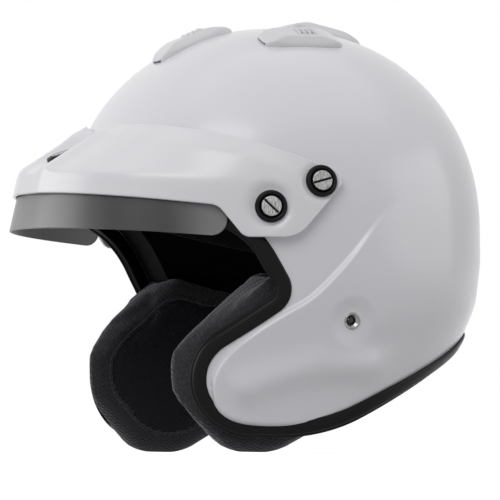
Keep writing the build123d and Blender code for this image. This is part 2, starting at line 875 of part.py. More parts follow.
def main():
    seats = vent_seats()
    run, _ = strap_run()
    base = cheek_base_left()
    pad = cheek_pad_left()
    terminal = terminal_left()
    hanger = strap_hanger_left()
    rivet_hole = rod(strap_seat(), rivet_radius + trim_gap, -overrun, overrun)
    rings = ring_axes()
    nodes = {
        "outer_shell": outer_shell(),
        "edge_trim": edge_trim(),
        "impact_liner": impact_liner(),
        "cheek_base_left": base,
        "cheek_base_right": mirror(base, about=Plane.YZ),
        "cheek_pad_left": pad,
        "cheek_pad_right": mirror(pad, about=Plane.YZ),
        "pad_snaps": pad_snaps(),
        "head_band": head_band(),
        "neck_roll": neck_roll(),
        "crown_pad": crown_pad(),
        "peak": peak(),
        "tint_strip": tint_strip(),
        "peak_bracket": peak_bracket(),
        "peak_collars": peak_collars(),
        "peak_screws": peak_screws(),
        "peak_nuts": peak_nuts(),
        "restraint_terminal_left": terminal,
        "restraint_terminal_right": mirror(terminal, about=Plane.YZ),
        "vent_housing_front": vented_housing(seats["front"]),
        "vent_housing_left": vented_housing(seats["left"]),
        "vent_housing_right": vented_housing(seats["right"]),
        "vent_housing_rear": vent_housing(seats["rear"], -1),
        "vent_slide_front": vent_slide(seats["front"]),
        "vent_slide_left": vent_slide(seats["left"]),
        "vent_slide_right": vent_slide(seats["right"]),
        "chin_strap_left": chin_strap_left() - rivet_hole,
        "chin_strap_right": chin_strap_right() - mirror(rivet_hole, about=Plane.YZ),
        "strap_hanger_left": hanger,
        "strap_hanger_right": mirror(hanger, about=Plane.YZ),
        "strap_rivets": strap_rivets(),
        "d_ring_outer": d_ring(rings[0]),
        "d_ring_inner": d_ring(rings[1]),
    }
    whole = Compound(children=[solid for piece in nodes.values() for solid in piece.solids()])
    box = whole.bounding_box()
    shift = Vector(0, -(box.min.Y + box.max.Y) / 2, -box.min.Z)
    os.makedirs("parts", exist_ok=True)
    for name, piece in nodes.items():
        solids = [Pos(*shift) * solid for solid in piece.solids()]
        export_step(solids[0] if len(solids) == 1 else Compound(children=solids),
                    f"parts/{name}.step")
    print("size", box.size, "shift", shift)
    for name, seat in seats.items():
        print("vent", name, seat.origin + shift, "slides along", seat.x_dir)
    seat = terminal_seat()
    print("terminal", seat.origin + shift, "axis", seat.z_dir)
    for number, (across, height) in enumerate(rings):
        print("ring bar", number, Vector(across, -strap_forward, height) + shift)
    for seat in screw_seats():
        print("screw", seat.origin + shift, "axis", seat.z_dir)


main()
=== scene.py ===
from math import cos, pi, radians, sin

import bmesh
import bpy
import numpy as np
from mathutils import Matrix, Vector
from mathutils.bvhtree import BVHTree

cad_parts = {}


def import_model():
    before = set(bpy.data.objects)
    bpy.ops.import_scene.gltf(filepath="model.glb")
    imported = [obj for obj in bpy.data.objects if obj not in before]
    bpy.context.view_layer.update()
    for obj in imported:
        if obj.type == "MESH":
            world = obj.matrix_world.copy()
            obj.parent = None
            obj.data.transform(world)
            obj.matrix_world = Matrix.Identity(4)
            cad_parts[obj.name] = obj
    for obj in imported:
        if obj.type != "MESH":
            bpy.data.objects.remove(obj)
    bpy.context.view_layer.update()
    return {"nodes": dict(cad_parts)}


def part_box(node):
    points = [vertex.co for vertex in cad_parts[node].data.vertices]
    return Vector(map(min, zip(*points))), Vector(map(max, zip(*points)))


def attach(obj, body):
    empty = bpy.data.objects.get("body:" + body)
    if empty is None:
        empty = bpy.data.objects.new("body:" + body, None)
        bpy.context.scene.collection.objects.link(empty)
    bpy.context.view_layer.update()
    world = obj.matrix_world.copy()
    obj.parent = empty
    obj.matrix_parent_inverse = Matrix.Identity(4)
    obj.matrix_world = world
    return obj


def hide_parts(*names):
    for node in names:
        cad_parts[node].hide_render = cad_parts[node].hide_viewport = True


# Looks of an open-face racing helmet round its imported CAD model.
# Sizes are in millimetres about the centre of the dome, and points go to the frame in metres.
# Side views are in (forward, height): forward is along -Y.

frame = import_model()

MM = 0.001

# Shell, as in the CAD
REACH = 128.0
HALF = 122.0
CROWN = 128.5
WALL = 3.6
PLAN = 2.3
RISE = 2.14
TOP_SHARE = sin(radians(86))
LEVEL_SHARES = np.array((-1.17, -0.85, -0.58, -0.36, 0.0))
HALF_SHARES = np.array((0.78, 0.875, 0.938, 0.978, 1.0))
REAR_SHARES = np.array((0.54, 0.635, 0.84, 0.97, 1.0))
OPENING_SHARES = (
    (1.172, 0.179, 0.0),
    (0.781, 0.093, 1.45),
    (0.492, -0.031, 0.44),
    (0.328, -0.319, 0.062),
    (0.6875, -0.576, 0.233),
    (0.707, -0.992, 0.278),
    (0.086, -0.992, 0.856),
    (-1.172, -0.366, 0.0),
    (-1.172, 1.17, 0.0),
    (1.172, 1.17, 0.0),
)
RIM_SIDES = 7

# Peak and tinted strip, as in the CAD
PEAK_TILT = 4.2
PEAK_POWER = 2.25
PEAK_REAR = 64.0
PEAK_LOW = (-30.0, 173.5, 121.5)
PEAK_CREASE = (23.0, 164.6, 121.0)
PEAK_TOP = (66.0, 106.2, 107.5)
PEAK_GROW = 4.0
PEAK_WALL = 2.4
PEAK_SHARES = (
    (1.50, 0.196, 0.0),
    (0.645, 0.098, 0.07),
    (0.527, -0.0545, 0.062),
    (0.273, -0.0545, 0.155),
    (0.012, 0.241, 0.047),
    (0.469, 0.424, 0.62),
    (0.844, 0.514, 0.23),
    (1.50, 0.514, 0.0),
)
PEAK_TIP = 4
VALLEY_FROM = (112.0, 55.5)
VALLEY_TO = (150.0, 42.0)
VALLEY_HALF = 13.0
VALLEY_SIDE_SLOPE = 16.0 / 14.0
VALLEY_STEEPNESS = 0.7
VALLEY_BLEND = 2.0
CREASE_SOFT = 1.5
PEAK_BLEND = 13.0
NOTCH_SINK = -0.5
STRIP_INSET = 2.7
STRIP_WALL = 1.4
STRIP_SHARES = (
    (1.50, 0.016, 0.0),
    (0.582, -0.0515, 0.075),
    (0.594, 0.15, 0.02),
    (1.50, 0.235, 0.0),
)
STRIP_TIP = 1

shell_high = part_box("outer_shell")[1]
CENTRE = Vector((0, shell_high.y - REACH * MM, shell_high.z - CROWN * TOP_SHARE * MM))


# Meshes

def placed(points):
    """From millimetres about the dome's centre to the frame, in metres."""
    return np.asarray(points, float).reshape(-1, 3) * MM + np.array(CENTRE)


def in_scene(name, data):
    """A new object with the given data, put in the scene."""
    piece = bpy.data.objects.new(name, data)
    bpy.context.scene.collection.objects.link(piece)
    return piece


def new_piece(name, points, faces, material, body="helmet"):
    mesh = bpy.data.meshes.new(name)
    mesh.from_pydata(placed(points).tolist(), [], [tuple(map(int, face)) for face in faces])
    mesh.update()
    piece = in_scene(name, mesh)
    mesh.polygons.foreach_set("use_smooth", [True] * len(mesh.polygons))
    mesh.materials.append(material)
    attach(piece, body)
    return piece


def grid_faces(rows, columns, start=0, closed_rows=False, closed_columns=False, flip=False):
    """Quads of a grid of points stored row by row."""
    row = np.arange(rows if closed_rows else rows - 1)
    column = np.arange(columns if closed_columns else columns - 1)
    i, j = np.meshgrid(row, column, indexing="ij")
    ahead = (i + 1) % rows
    beside = (j + 1) % columns
    quads = np.stack([i * columns + j, i * columns + beside, ahead * columns + beside,
                      ahead * columns + j], axis=-1).reshape(-1, 4) + start
    return quads[:, ::-1] if flip else quads


def tube_faces(rows, columns, closed):
    """Faces of a grid that closes on itself across, with caps if it doesn't lengthwise."""
    faces = [tuple(quad) for quad in grid_faces(rows, columns, closed_rows=closed, closed_columns=True)]
    if not closed:
        faces.append(tuple(range(columns)))
        faces.append(tuple((rows - 1) * columns + column for column in range(columns)))
    return faces


def outward(piece):
    """Makes a closed piece's faces look out."""
    work = bmesh.new()
    work.from_mesh(piece.data)
    bmesh.ops.recalc_face_normals(work, faces=work.faces)
    work.to_mesh(piece.data)
    work.free()
    return piece


def welded(piece, reach, facing=False):
    """Drops loose points, joins those within a reach, and turns the faces out if told to."""
    work = bmesh.new()
    work.from_mesh(piece.data)
    loose = [vertex for vertex in work.verts if not vertex.link_faces]
    bmesh.ops.delete(work, geom=loose, context="VERTS")
    bmesh.ops.remove_doubles(work, verts=work.verts, dist=reach * MM)
    if facing:
        bmesh.ops.recalc_face_normals(work, faces=work.faces)
    work.to_mesh(piece.data)
    work.free()


def smooth_step(value, low, high):
    share = np.clip((value - low) / (high - low), 0, 1)
    return share * share * (3 - 2 * share)


def signed_power(value, power):
    return np.sign(value) * np.abs(value)**power


def fallen(from_edge, edge):
    """How far a quarter-round edge has fallen at a distance from it."""
    near = edge - np.minimum(from_edge, edge)
    return edge - np.sqrt(np.maximum(edge**2 - near**2, 0))


def soft_min(a, b, reach):
    """The lower of two values, rounded over where they cross."""
    share = np.clip(0.5 + 0.5 * (b - a) / reach, 0, 1)
    return b * (1 - share) + a * share - reach * share * (1 - share)


def soft_max(a, b, reach):
    return -soft_min(-a, -b, reach)


# Outlines in the side view

ARC_POINTS = 25
SIDE_POINTS = 41
CORNER_SHARE = 0.98
SHORTEST = 1e-12


def rounded_pieces(shares):
    """Arcs and sides of an outline of rounded corners, as lists of (forward, height)."""
    corners = np.array([(forward * REACH, height * CROWN) for forward, height, _ in shares])
    radii = np.array([radius * CROWN for _, _, radius in shares])
    count = len(corners)
    sides = [corners[(i + 1) % count] - corners[i] for i in range(count)]
    lengths = [np.linalg.norm(side) for side in sides]
    units = [side / length for side, length in zip(sides, lengths)]
    halves = [np.arccos(np.clip(np.dot(-units[i - 1], units[i]), -1, 1)) / 2 for i in range(count)]
    tangents = [radii[i] / np.tan(halves[i]) for i in range(count)]
    tiny = 1e-6
    cuts = []
    for i in range(count):
        before = CORNER_SHARE * lengths[i - 1] / max(tangents[i - 1] + tangents[i], tiny)
        after = CORNER_SHARE * lengths[i] / max(tangents[i] + tangents[(i + 1) % count], tiny)
        cuts.append(tangents[i] * min(1, before, after))
    arcs, lines = [], []
    for i in range(count):
        start = corners[i] - units[i - 1] * cuts[i]
        end = corners[i] + units[i] * cuts[i]
        if cuts[i] > tiny:
            radius = cuts[i] * np.tan(halves[i])
            inward = units[i] - units[i - 1]
            centre = corners[i] + inward / np.linalg.norm(inward) * radius / np.sin(halves[i])
            turn_from = np.arctan2(*(start - centre)[::-1])
            turn = (np.arctan2(*(end - centre)[::-1]) - turn_from + pi) % (2 * pi) - pi
            turns = turn_from + turn * np.linspace(0, 1, ARC_POINTS)
            arcs.append(centre + radius * np.stack([np.cos(turns), np.sin(turns)], axis=1))
        else:
            arcs.append(corners[i][None])
        following = (i + 1) % count
        stop = corners[following] - units[i] * cuts[following]
        steps = np.linspace(0, 1, SIDE_POINTS)[1:-1, None]
        lines.append(end + (stop - end) * steps)
    return arcs, lines


def run_of(arcs, lines, first, last):
    """Outline from one corner to another: sides and arcs between them, ends left out."""
    run = []
    for i in range(first, last):
        run.append(lines[i])
        if i + 1 < last:
            run.append(arcs[i + 1])
    return np.concatenate(run)


def gaps_from(flat, a, b):
    """Where on a side lies nearest to points, as a share of it, and the gaps from there."""
    side = b - a
    share = np.clip(((flat - a) @ side) / (side @ side), 0, 1)
    return share, flat - a - share[:, None] * side


def distance_inside(points, outline):
    """Signed distance in the side view to a closed outline, above 0 inside."""
    flat = points.reshape(-1, 2)
    ends = np.roll(outline, -1, axis=0)
    best = np.full(len(flat), 1e9)
    inside = np.zeros(len(flat), bool)
    for a, b in zip(outline, ends):
        side = b - a
        if side @ side < SHORTEST:
            continue
        gap = gaps_from(flat, a, b)[1]
        best = np.minimum(best, np.einsum("ij,ij->i", gap, gap))
        crosses = (a[1] > flat[:, 1]) != (b[1] > flat[:, 1])
        if side[1]:
            at = a[0] + (flat[:, 1] - a[1]) * side[0] / side[1]
            inside ^= crosses & (flat[:, 0] < at)
    return (np.sqrt(best) * np.where(inside, 1, -1)).reshape(points.shape[:-1])


# Surfaces: functions that are below 0 inside a form and grow about a millimetre a millimetre

def cubic(share, values, slopes, i, span=1.0):
    """A share of the way from value i to the next, with the given slopes at both."""
    square, cube = share**2, share**3
    return ((2 * cube - 3 * square + 1) * values[i] + (cube - 2 * square + share) * span * slopes[i]
            + (3 * square - 2 * cube) * values[i + 1] + (cube - square) * span * slopes[i + 1])


def eased(value, places, values):
    """Smooth curve through the given values, level at the last."""
    slopes = np.gradient(values, places)
    slopes[-1] = 0
    i = np.clip(np.searchsorted(places, value) - 1, 0, len(places) - 2)
    span = places[i + 1] - places[i]
    return cubic((value - places[i]) / span, values, slopes, i, span)


def shell_form(points, grow=0.0):
    x, y, z = np.moveaxis(points, -1, 0)
    level = np.clip(z / CROWN, LEVEL_SHARES[0], 0)
    half = (HALF + grow) * eased(level, LEVEL_SHARES, HALF_SHARES)
    reach = np.where(y < 0, REACH + grow, (REACH + grow) * eased(level, LEVEL_SHARES, REAR_SHARES))
    plan = (np.abs(x) / half)**PLAN + (np.abs(y) / reach)**PLAN
    rise = (np.maximum(z, 0) / (CROWN + grow))**RISE
    return ((plan**(RISE / PLAN) + rise)**(1 / RISE) - 1) * HALF


def cone_form(points, inset=0.0):
    """The peak's fascia and roof without the dome behind them."""
    x, y, z = np.moveaxis(points, -1, 0)
    tilt = radians(PEAK_TILT)
    back = y * cos(tilt) - z * sin(tilt)
    up = y * sin(tilt) + z * cos(tilt)
    sizes = []
    for part in (1, 2):
        low, crease, top = PEAK_LOW[part], PEAK_CREASE[part], PEAK_TOP[part]
        fascia = low + (crease - low) * (up - PEAK_LOW[0]) / (PEAK_CREASE[0] - PEAK_LOW[0])
        roof = crease + (top - crease) * (up - PEAK_CREASE[0]) / (PEAK_TOP[0] - PEAK_CREASE[0])
        sizes.append(soft_min(fascia, roof, CREASE_SOFT) - inset)
    front, half = sizes
    front = np.maximum(front, 1.0)
    half = np.maximum(half, 1.0)
    reach = np.where(back < 0, front, PEAK_REAR)
    plan = ((np.abs(x) / half)**PEAK_POWER + (np.abs(back) / reach)**PEAK_POWER)**(1 / PEAK_POWER)
    return (plan - 1) * half


def peak_form(points):
    """Fascia and roof run into the dome, with the valley taken out of the middle."""
    x, y, z = np.moveaxis(points, -1, 0)
    body = soft_min(cone_form(points), shell_form(points, PEAK_GROW), PEAK_BLEND)
    slope = (VALLEY_TO[1] - VALLEY_FROM[1]) / (VALLEY_TO[0] - VALLEY_FROM[0])
    floor = VALLEY_FROM[1] + (-y - VALLEY_FROM[0]) * slope
    side = np.maximum(np.abs(x) - VALLEY_HALF, 0) * VALLEY_SIDE_SLOPE
    body = soft_max(body, (z - floor - side) * VALLEY_STEEPNESS, VALLEY_BLEND)
    return np.minimum(body, shell_form(points, NOTCH_SINK))


def strip_form(points):
    return cone_form(points, STRIP_INSET)


def last_inside(surface, point_at, shape, low, high, steps=36):
    """Greatest values at which points that depend on them are still inside a form, by halving."""
    low, high = np.full(shape, low), np.full(shape, high)
    for _ in range(steps):
        middle = (low + high) / 2
        inside = surface(point_at(middle)) < 0
        low = np.where(inside, middle, low)
        high = np.where(inside, high, middle)
    return low


def out_to(surface, directions):
    """Where rays from the dome's centre leave a form."""
    reach = last_inside(surface, lambda far: directions * far[..., None], directions.shape[:-1], 20.0, 270.0)
    return directions * reach[..., None]


def out_from(surface, origins, directions, steps=36):
    """Where rays from given places leave a form."""
    reach = last_inside(surface, lambda far: origins + directions * far[..., None],
                        directions.shape[:-1], 0.0, 150.0, steps)
    return origins + directions * reach[..., None]


def normals_of(surface, points, step=0.2):
    slopes = []
    for axis in range(3):
        shift = np.zeros(3)
        shift[axis] = step
        slopes.append(surface(points + shift) - surface(points - shift))
    normal = np.stack(slopes, axis=-1)
    return normal / np.maximum(np.linalg.norm(normal, axis=-1, keepdims=True), 1e-9)


def across_at(surface, side_points):
    """Points of a form on the left side over places in the side view."""
    def point_at(lateral):
        return np.stack([lateral, -side_points[:, 0], side_points[:, 1]], axis=-1)

    return point_at(last_inside(surface, point_at, len(side_points), 0.0, 150.0, 40))


def in_middle(surface, side_points):
    lateral = np.zeros(len(side_points))
    return surface(np.stack([lateral, -side_points[:, 0], side_points[:, 1]], axis=-1)) < 0


def side_view(points):
    return np.stack([-points[..., 1], points[..., 2]], axis=-1)


def lengths_of(run):
    """Lengths along a polyline at each of its points."""
    return np.concatenate([[0], np.cumsum(np.linalg.norm(np.diff(run, axis=0), axis=1))])


def along(run, places):
    """Points at lengths along a polyline in the side view."""
    lengths = lengths_of(run)
    return np.stack([np.interp(places, lengths, run[:, part]) for part in range(run.shape[1])], axis=1)


def length_of(run):
    return np.linalg.norm(np.diff(run, axis=0), axis=1).sum()


FINE_POINTS = 4001
RUN_POINTS = 1500
CROWDING = 2.4
END_POINTS = 200


def from_middle(surface, run, shares):
    """Points on a form along a run that starts ahead of it, from the middle plane on."""
    total = length_of(run)
    fine = np.linspace(0, total, FINE_POINTS)
    start = fine[np.argmax(in_middle(surface, along(run, fine)))]
    places = start + (total - start) * np.linspace(0, 1, RUN_POINTS)**CROWDING
    points = across_at(surface, along(run, places))
    points[0, 0] = 0
    lengths = lengths_of(points)
    wanted = np.interp(np.asarray(shares) * lengths[-1], lengths, places)
    points = across_at(surface, along(run, wanted))
    points[0, 0] = 0
    return points, lengths[-1]


def chart(points):
    """Turn round the dome and rise over its middle height, as seen from the dome's centre."""
    x, y, z = np.moveaxis(points, -1, 0)
    return np.stack([np.arctan2(x, -y), np.arctan2(z, np.hypot(x, y))], axis=-1)


def directions_of(places):
    turn, rise = np.moveaxis(places, -1, 0)
    return np.stack([np.sin(turn) * np.cos(rise), -np.cos(turn) * np.cos(rise), np.sin(rise)], axis=-1)


MIDDLE_COLUMNS = 24
EDGE_STEPS = np.array((0.0, 0.2, 0.5, 0.9, 1.5, 2.4, 3.8))


def middle_filled(values):
    """The values of a grid with more columns between its first two, which lie far apart over a valley."""
    share = np.linspace(0, 1, MIDDLE_COLUMNS, endpoint=False).reshape(-1, *[1] * (values.ndim - 1))
    return np.concatenate([values[:1] * (1 - share) + values[1:2] * share, values[1:]])


def patch(surface, shares, tip_first, tip_last, columns, rows):
    """Grid on a form inside an outline: points, distances to its low, top and end edges."""
    arcs, lines = rounded_pieces(shares)
    count = len(shares)
    low_run = run_of(arcs, lines, 0, tip_first)
    low_run = np.concatenate([low_run, arcs[tip_first][:1]])
    end_run = [arcs[tip_first]]
    for i in range(tip_first, tip_last):
        end_run += [lines[i], arcs[i + 1][:1]]
    end_run = np.concatenate(end_run)
    top_run = np.concatenate([end_run[-1:], run_of(arcs, lines, tip_last, count - 1)])[::-1]
    guess = length_of(low_run)
    end_shares = 1 - EDGE_STEPS[::-1] / guess
    t = np.concatenate([np.linspace(0, end_shares[0], columns)[:-1], end_shares])
    low, low_length = from_middle(surface, low_run, t)
    top, top_length = from_middle(surface, top_run, t)
    widths = np.linalg.norm(low - top, axis=1)
    near = EDGE_STEPS[None] / widths[:, None]
    middle = np.linspace(0, 1, rows)[None, 1:-1]
    inner = near[:, -1:] + (1 - 2 * near[:, -1:]) * middle
    w = np.concatenate([near, inner, 1 - near[:, ::-1]], axis=1)
    end_places = np.linspace(0, 1, END_POINTS)
    end = across_at(surface, along(end_run, end_places * length_of(end_run)))
    b, u, e = chart(low), chart(top), chart(end)
    ends = np.stack([np.interp(w, end_places, e[:, part]) for part in range(2)], axis=-1)
    c = b[0] + (u[0] - b[0]) * w[..., None]
    t_, w_ = t[:, None, None], w[..., None]
    straight = (1 - w_) * b[:, None] + w_ * u[:, None]
    across = (1 - t_) * c + t_ * ends
    corners = ((1 - t_) * ((1 - w_) * b[0] + w_ * u[0])
               + t_ * ((1 - w_) * b[-1] + w_ * u[-1]))
    points = out_to(surface, directions_of(middle_filled(straight + across - corners)))
    points[0, :, 0] = 0
    to_low = w * widths[:, None]
    to_top = (1 - w) * widths[:, None]
    to_end = (1 - t[:, None]) * ((1 - w) * low_length + w * top_length)
    return points, middle_filled(to_low), middle_filled(to_top), middle_filled(to_end)


def mirrored(grid):
    """A half grid from the middle plane on, with its other half put before it."""
    other = grid[:0:-1].copy()
    if grid.ndim == 3:
        other[..., 0] *= -1
    return np.concatenate([other, grid])


def closed_sheet(outer, inner):
    """Points and faces of two grids of the same shape, joined round their edges."""
    rows, columns = outer.shape[:2]
    total = rows * columns
    ring = np.concatenate([np.arange(columns), (np.arange(1, rows) * columns + columns - 1),
                           ((rows - 1) * columns + np.arange(columns - 2, -1, -1)),
                           (np.arange(rows - 2, 0, -1) * columns)])
    following = np.roll(ring, -1)
    sides = np.stack([ring, ring + total, following + total, following], axis=-1)
    faces = np.concatenate([grid_faces(rows, columns), grid_faces(rows, columns, total, flip=True), sides])
    return np.concatenate([outer.reshape(-1, 3), inner.reshape(-1, 3)]), faces


def sheet_piece(name, points, normals, wall, edge, distance, material):
    """Closed sheet of a wall's thickness under a grid, its edges rounded."""
    fall = fallen(distance, edge)[..., None]
    outer = points - normals * fall
    inner = points - normals * (wall - fall)
    return outward(new_piece(name, *closed_sheet(outer, inner), material))


# Materials

def fill(tree, node, inputs):
    """Sets a node's inputs, or links them where another node's output is given."""
    for key, value in inputs.items():
        if isinstance(value, bpy.types.NodeSocket):
            tree.links.new(value, node.inputs[key])
        else:
            node.inputs[key].default_value = value


def add(tree, kind, output, inputs, **settings):
    """The named output of a new node."""
    node = tree.nodes.new("ShaderNode" + kind)
    for key, value in settings.items():
        setattr(node, key, value)
    fill(tree, node, inputs)
    return node.outputs[output]


def new_material(name):
    material = bpy.data.materials.new(name)
    material.use_nodes = True
    return material, material.node_tree


def shade(tree, inputs, height=None, depth=0.0, strength=1.0):
    """Fills in the shader, with a relief of a height in metres if there is one."""
    if height is not None:
        inputs["Normal"] = add(tree, "Bump", "Normal", {"Distance": depth, "Strength": strength,
                                                        "Height": height})
    fill(tree, tree.nodes["Principled BSDF"], inputs)


def place_in(tree, turn=(0, 0, 0), stretch=(1, 1, 1)):
    """The object's own coordinates, turned and stretched."""
    place = add(tree, "TexCoord", "Object", {})
    return add(tree, "Mapping", "Vector", {"Vector": place, "Rotation": turn, "Scale": stretch})


def noise_of(tree, scale, detail=2.0, rough=0.5, place=None):
    """Noise in the object's own coordinates: cells a metre."""
    place = place or add(tree, "TexCoord", "Object", {})
    return add(tree, "TexNoise", "Fac", {"Scale": scale, "Detail": detail, "Roughness": rough,
                                         "Vector": place})


def spread(tree, value, low, high):
    return add(tree, "MapRange", "Result", {"Value": value, "From Min": 0.3, "From Max": 0.7,
                                            "To Min": low, "To Max": high})


def scaled(colour, share):
    return tuple(part * share for part in colour)


def mixed(tree, value, low, high):
    """From one colour to the other as a value passes its middle."""
    ramp = tree.nodes.new("ShaderNodeValToRGB")
    for element, position, colour in zip(ramp.color_ramp.elements, (0.35, 0.65), (low, high)):
        element.position = position
        element.color = (*colour, 1)
    fill(tree, ramp, {"Fac": value})
    return ramp.outputs["Color"]


def worked(tree, operation, first, second):
    return add(tree, "Math", 0, {0: first, 1: second}, operation=operation)


def gel_coat(name, colour, rough=0.3, coat=0.3):
    """Gloss paint with faint orange peel and slight mottling of tone."""
    material, tree = new_material(name)
    shade(tree, {
        "Base Color": mixed(tree, noise_of(tree, 9.0), scaled(colour, 0.99), colour),
        "Roughness": spread(tree, noise_of(tree, 140.0, 3.0), rough * 0.97, rough * 1.03),
        "Coat Weight": coat,
        "Coat Roughness": 0.14,
        "IOR": 1.47,
    }, noise_of(tree, 420.0, 1.0), 0.000006)
    return material


def rubber(name, colour, rough=0.36):
    material, tree = new_material(name)
    shade(tree, {
        "Base Color": mixed(tree, noise_of(tree, 45.0, 4.0), colour, scaled(colour, 1.5)),
        "Roughness": spread(tree, noise_of(tree, 300.0, 3.0), rough * 0.85, rough * 1.15),
        "Specular IOR Level": 0.12,
    }, noise_of(tree, 2200.0, 2.0), 0.00004)
    return material


def knit(name, colour, sheen, pitch=0.0011):
    """Brushed knit: fine crossed rows of loops under a short nap."""
    material, tree = new_material(name)
    rows = [add(tree, "TexWave", "Fac", {
        "Scale": 1 / pitch / 6.28,
        "Distortion": 1.2,
        "Detail Scale": 3.0,
        "Vector": place_in(tree, turn),
    }, wave_profile="SIN") for turn in ((0.6, 0.2, 0.9), (0.1, 1.1, -0.4))]
    weave = worked(tree, "MULTIPLY", *rows)
    nap = noise_of(tree, 900.0, 5.0, 0.7)
    shade(tree, {
        "Base Color": mixed(tree, nap, colour, scaled(colour, 2.6)),
        "Roughness": 0.95,
        "Specular IOR Level": 0.25,
        "Sheen Weight": sheen,
        "Sheen Roughness": 0.5,
        "Sheen Tint": (0.8, 0.78, 0.85, 1),
    }, worked(tree, "ADD", weave, nap), 0.0005, 0.8)
    return material


def metal(name, colour, rough=0.25):
    """Turned metal with fine machining marks and worn patches."""
    material, tree = new_material(name)
    shade(tree, {
        "Metallic": 1.0,
        "Base Color": mixed(tree, noise_of(tree, 500.0, 3.0), scaled(colour, 0.8), colour),
        "Roughness": spread(tree, noise_of(tree, 1500.0, 3.0), rough * 0.7, rough * 1.4),
    }, noise_of(tree, 1800.0, 2.0), 0.00003)
    return material


def brushed(name, colour, rough=0.42):
    """Dull metal with wire-brush streaks: real brush marks in the relief, with painted reflection bands in
    the colour.
    """
    material, tree = new_material(name)
    brush_marks_and_painted_sheen = noise_of(tree, 420.0, 3.0, place=place_in(tree, (0.7, 0.3, 0.2), (1.0, 6.0, 1.0)))
    shade(tree, {
        "Metallic": 1.0,
        # Light and dark streaks in the colour are painted reflection standing in for brushed sheen.
        "Base Color": mixed(tree, brush_marks_and_painted_sheen, scaled(colour, 0.35), colour),
        "Roughness": rough,
    }, brush_marks_and_painted_sheen, 0.00012)
    return material


def risen(tree, value, places, levels):
    """A value that runs smoothly from one level to another between two places."""
    return add(tree, "MapRange", "Result", {
        "Value": value,
        "From Min": places[0],
        "From Max": places[1],
        "To Min": levels[0],
        "To Max": levels[1],
    }, interpolation_type="SMOOTHSTEP")


TINT_ALPHA = 0.76
TINT_DARK = ((0.033, 0.034, 0.034), (0.045, 0.045, 0.045))
# Colour of the painted light that pales the strip's ends.
TINT_PAINTED_LIGHT = (0.33, 0.33, 0.335)
TINT_REAR = (-0.092, -0.058)
TINT_REAR_SHARE = 0.75
TINT_FRONT = (-0.157, -0.112)


def smoke_tint(name):
    """Smoke-tinted clear sheet with a gloss face and faint handling marks; its ends are paled by painted
    light, as if bright background showed through.
    """
    material, tree = new_material(name)
    lengthwise = add(tree, "SeparateXYZ", "Y", {"Vector": add(tree, "TexCoord", "Object", {})})
    # How far the painted light pales the strip towards its rear and front ends.
    rear = risen(tree, lengthwise, TINT_REAR, (0, TINT_REAR_SHARE))
    front = risen(tree, lengthwise, TINT_FRONT, (1.0, 0))
    colour = add(tree, "MixRGB", "Color", {
        "Fac": worked(tree, "MAXIMUM", rear, front),
        "Color1": mixed(tree, noise_of(tree, 25.0, 3.0), *TINT_DARK),
        "Color2": (*TINT_PAINTED_LIGHT, 1),
    })
    shade(tree, {
        "Base Color": colour,
        "Roughness": spread(tree, noise_of(tree, 90.0, 4.0), 0.3, 0.36),
        "Alpha": TINT_ALPHA,
        "IOR": 1.5,
    })
    return material


def foam(name, colour):
    material, tree = new_material(name)
    beads = add(tree, "TexVoronoi", "Distance", {"Scale": 320.0,
                                                 "Vector": add(tree, "TexCoord", "Object", {})})
    shade(tree, {
        "Base Color": mixed(tree, beads, colour, scaled(colour, 1.6)),
        "Roughness": 0.85,
        "Specular IOR Level": 0.1,
    }, beads, 0.0004)
    return material


def webbing(name):
    """Twill weave in the webbing's own plane, matt with a faint sheen."""
    material, tree = new_material(name)
    weave = add(tree, "TexWave", "Fac", {
        "Scale": 150.0,
        "Distortion": 1.5,
        "Vector": place_in(tree, (0.8, 0.0, 0.0)),
    }, bands_direction="Y")
    shade(tree, {
        "Base Color": mixed(tree, weave, (0.003, 0.003, 0.0035), (0.012, 0.012, 0.013)),
        "Roughness": 0.85,
        "Sheen Weight": 0.2,
    }, weave, 0.0004)
    return material


WHITE = gel_coat("shell_white", (0.70, 0.70, 0.735))
PEAK_WHITE = gel_coat("peak_white", (0.72, 0.72, 0.75))
VENT_WHITE = gel_coat("vent_white", (0.66, 0.66, 0.68), 0.34, 0.2)
BLACK_RUBBER = rubber("trim_rubber", (0.003, 0.003, 0.003))
COLLAR_RUBBER = rubber("collar_rubber", (0.003, 0.003, 0.004), 0.3)
PAD_KNIT = knit("pad_fabric", (0.015, 0.0145, 0.0165), 0.6)
FACE_KNIT = knit("pad_face_fabric", (0.006, 0.006, 0.0085), 0.12)
LINING_KNIT = knit("lining_fabric", (0.002, 0.002, 0.003), 0.05, 0.0016)
LINER_FOAM = foam("liner_foam", (0.002, 0.002, 0.0025))
TERMINAL_METAL = metal("terminal_metal", (0.26, 0.26, 0.26), 0.2)
HEAD_METAL = brushed("screw_head_metal", (0.46, 0.455, 0.45))
RING_METAL = metal("ring_metal", (0.72, 0.72, 0.73), 0.2)
NUT_METAL = metal("nut_metal", (0.7, 0.62, 0.4), 0.35)
TINT = smoke_tint("strip_tint")
BLACK_PLASTIC = rubber("bracket_black", (0.008, 0.008, 0.008), 0.5)
WEBBING = webbing("strap_webbing")


def dress(node, material):
    """Gives a CAD node a material of its own."""
    slots = frame["nodes"][node].data.materials
    slots.clear()
    slots.append(material)


for node in ("impact_liner", "cheek_base_left", "cheek_base_right"):
    dress(node, LINER_FOAM)
for node in ("pad_snaps", "peak_bracket"):
    dress(node, BLACK_PLASTIC)
for node in ("strap_hanger_left", "strap_hanger_right", "strap_rivets", "d_ring_outer", "d_ring_inner"):
    dress(node, RING_METAL)
dress("peak_nuts", NUT_METAL)


# Shell

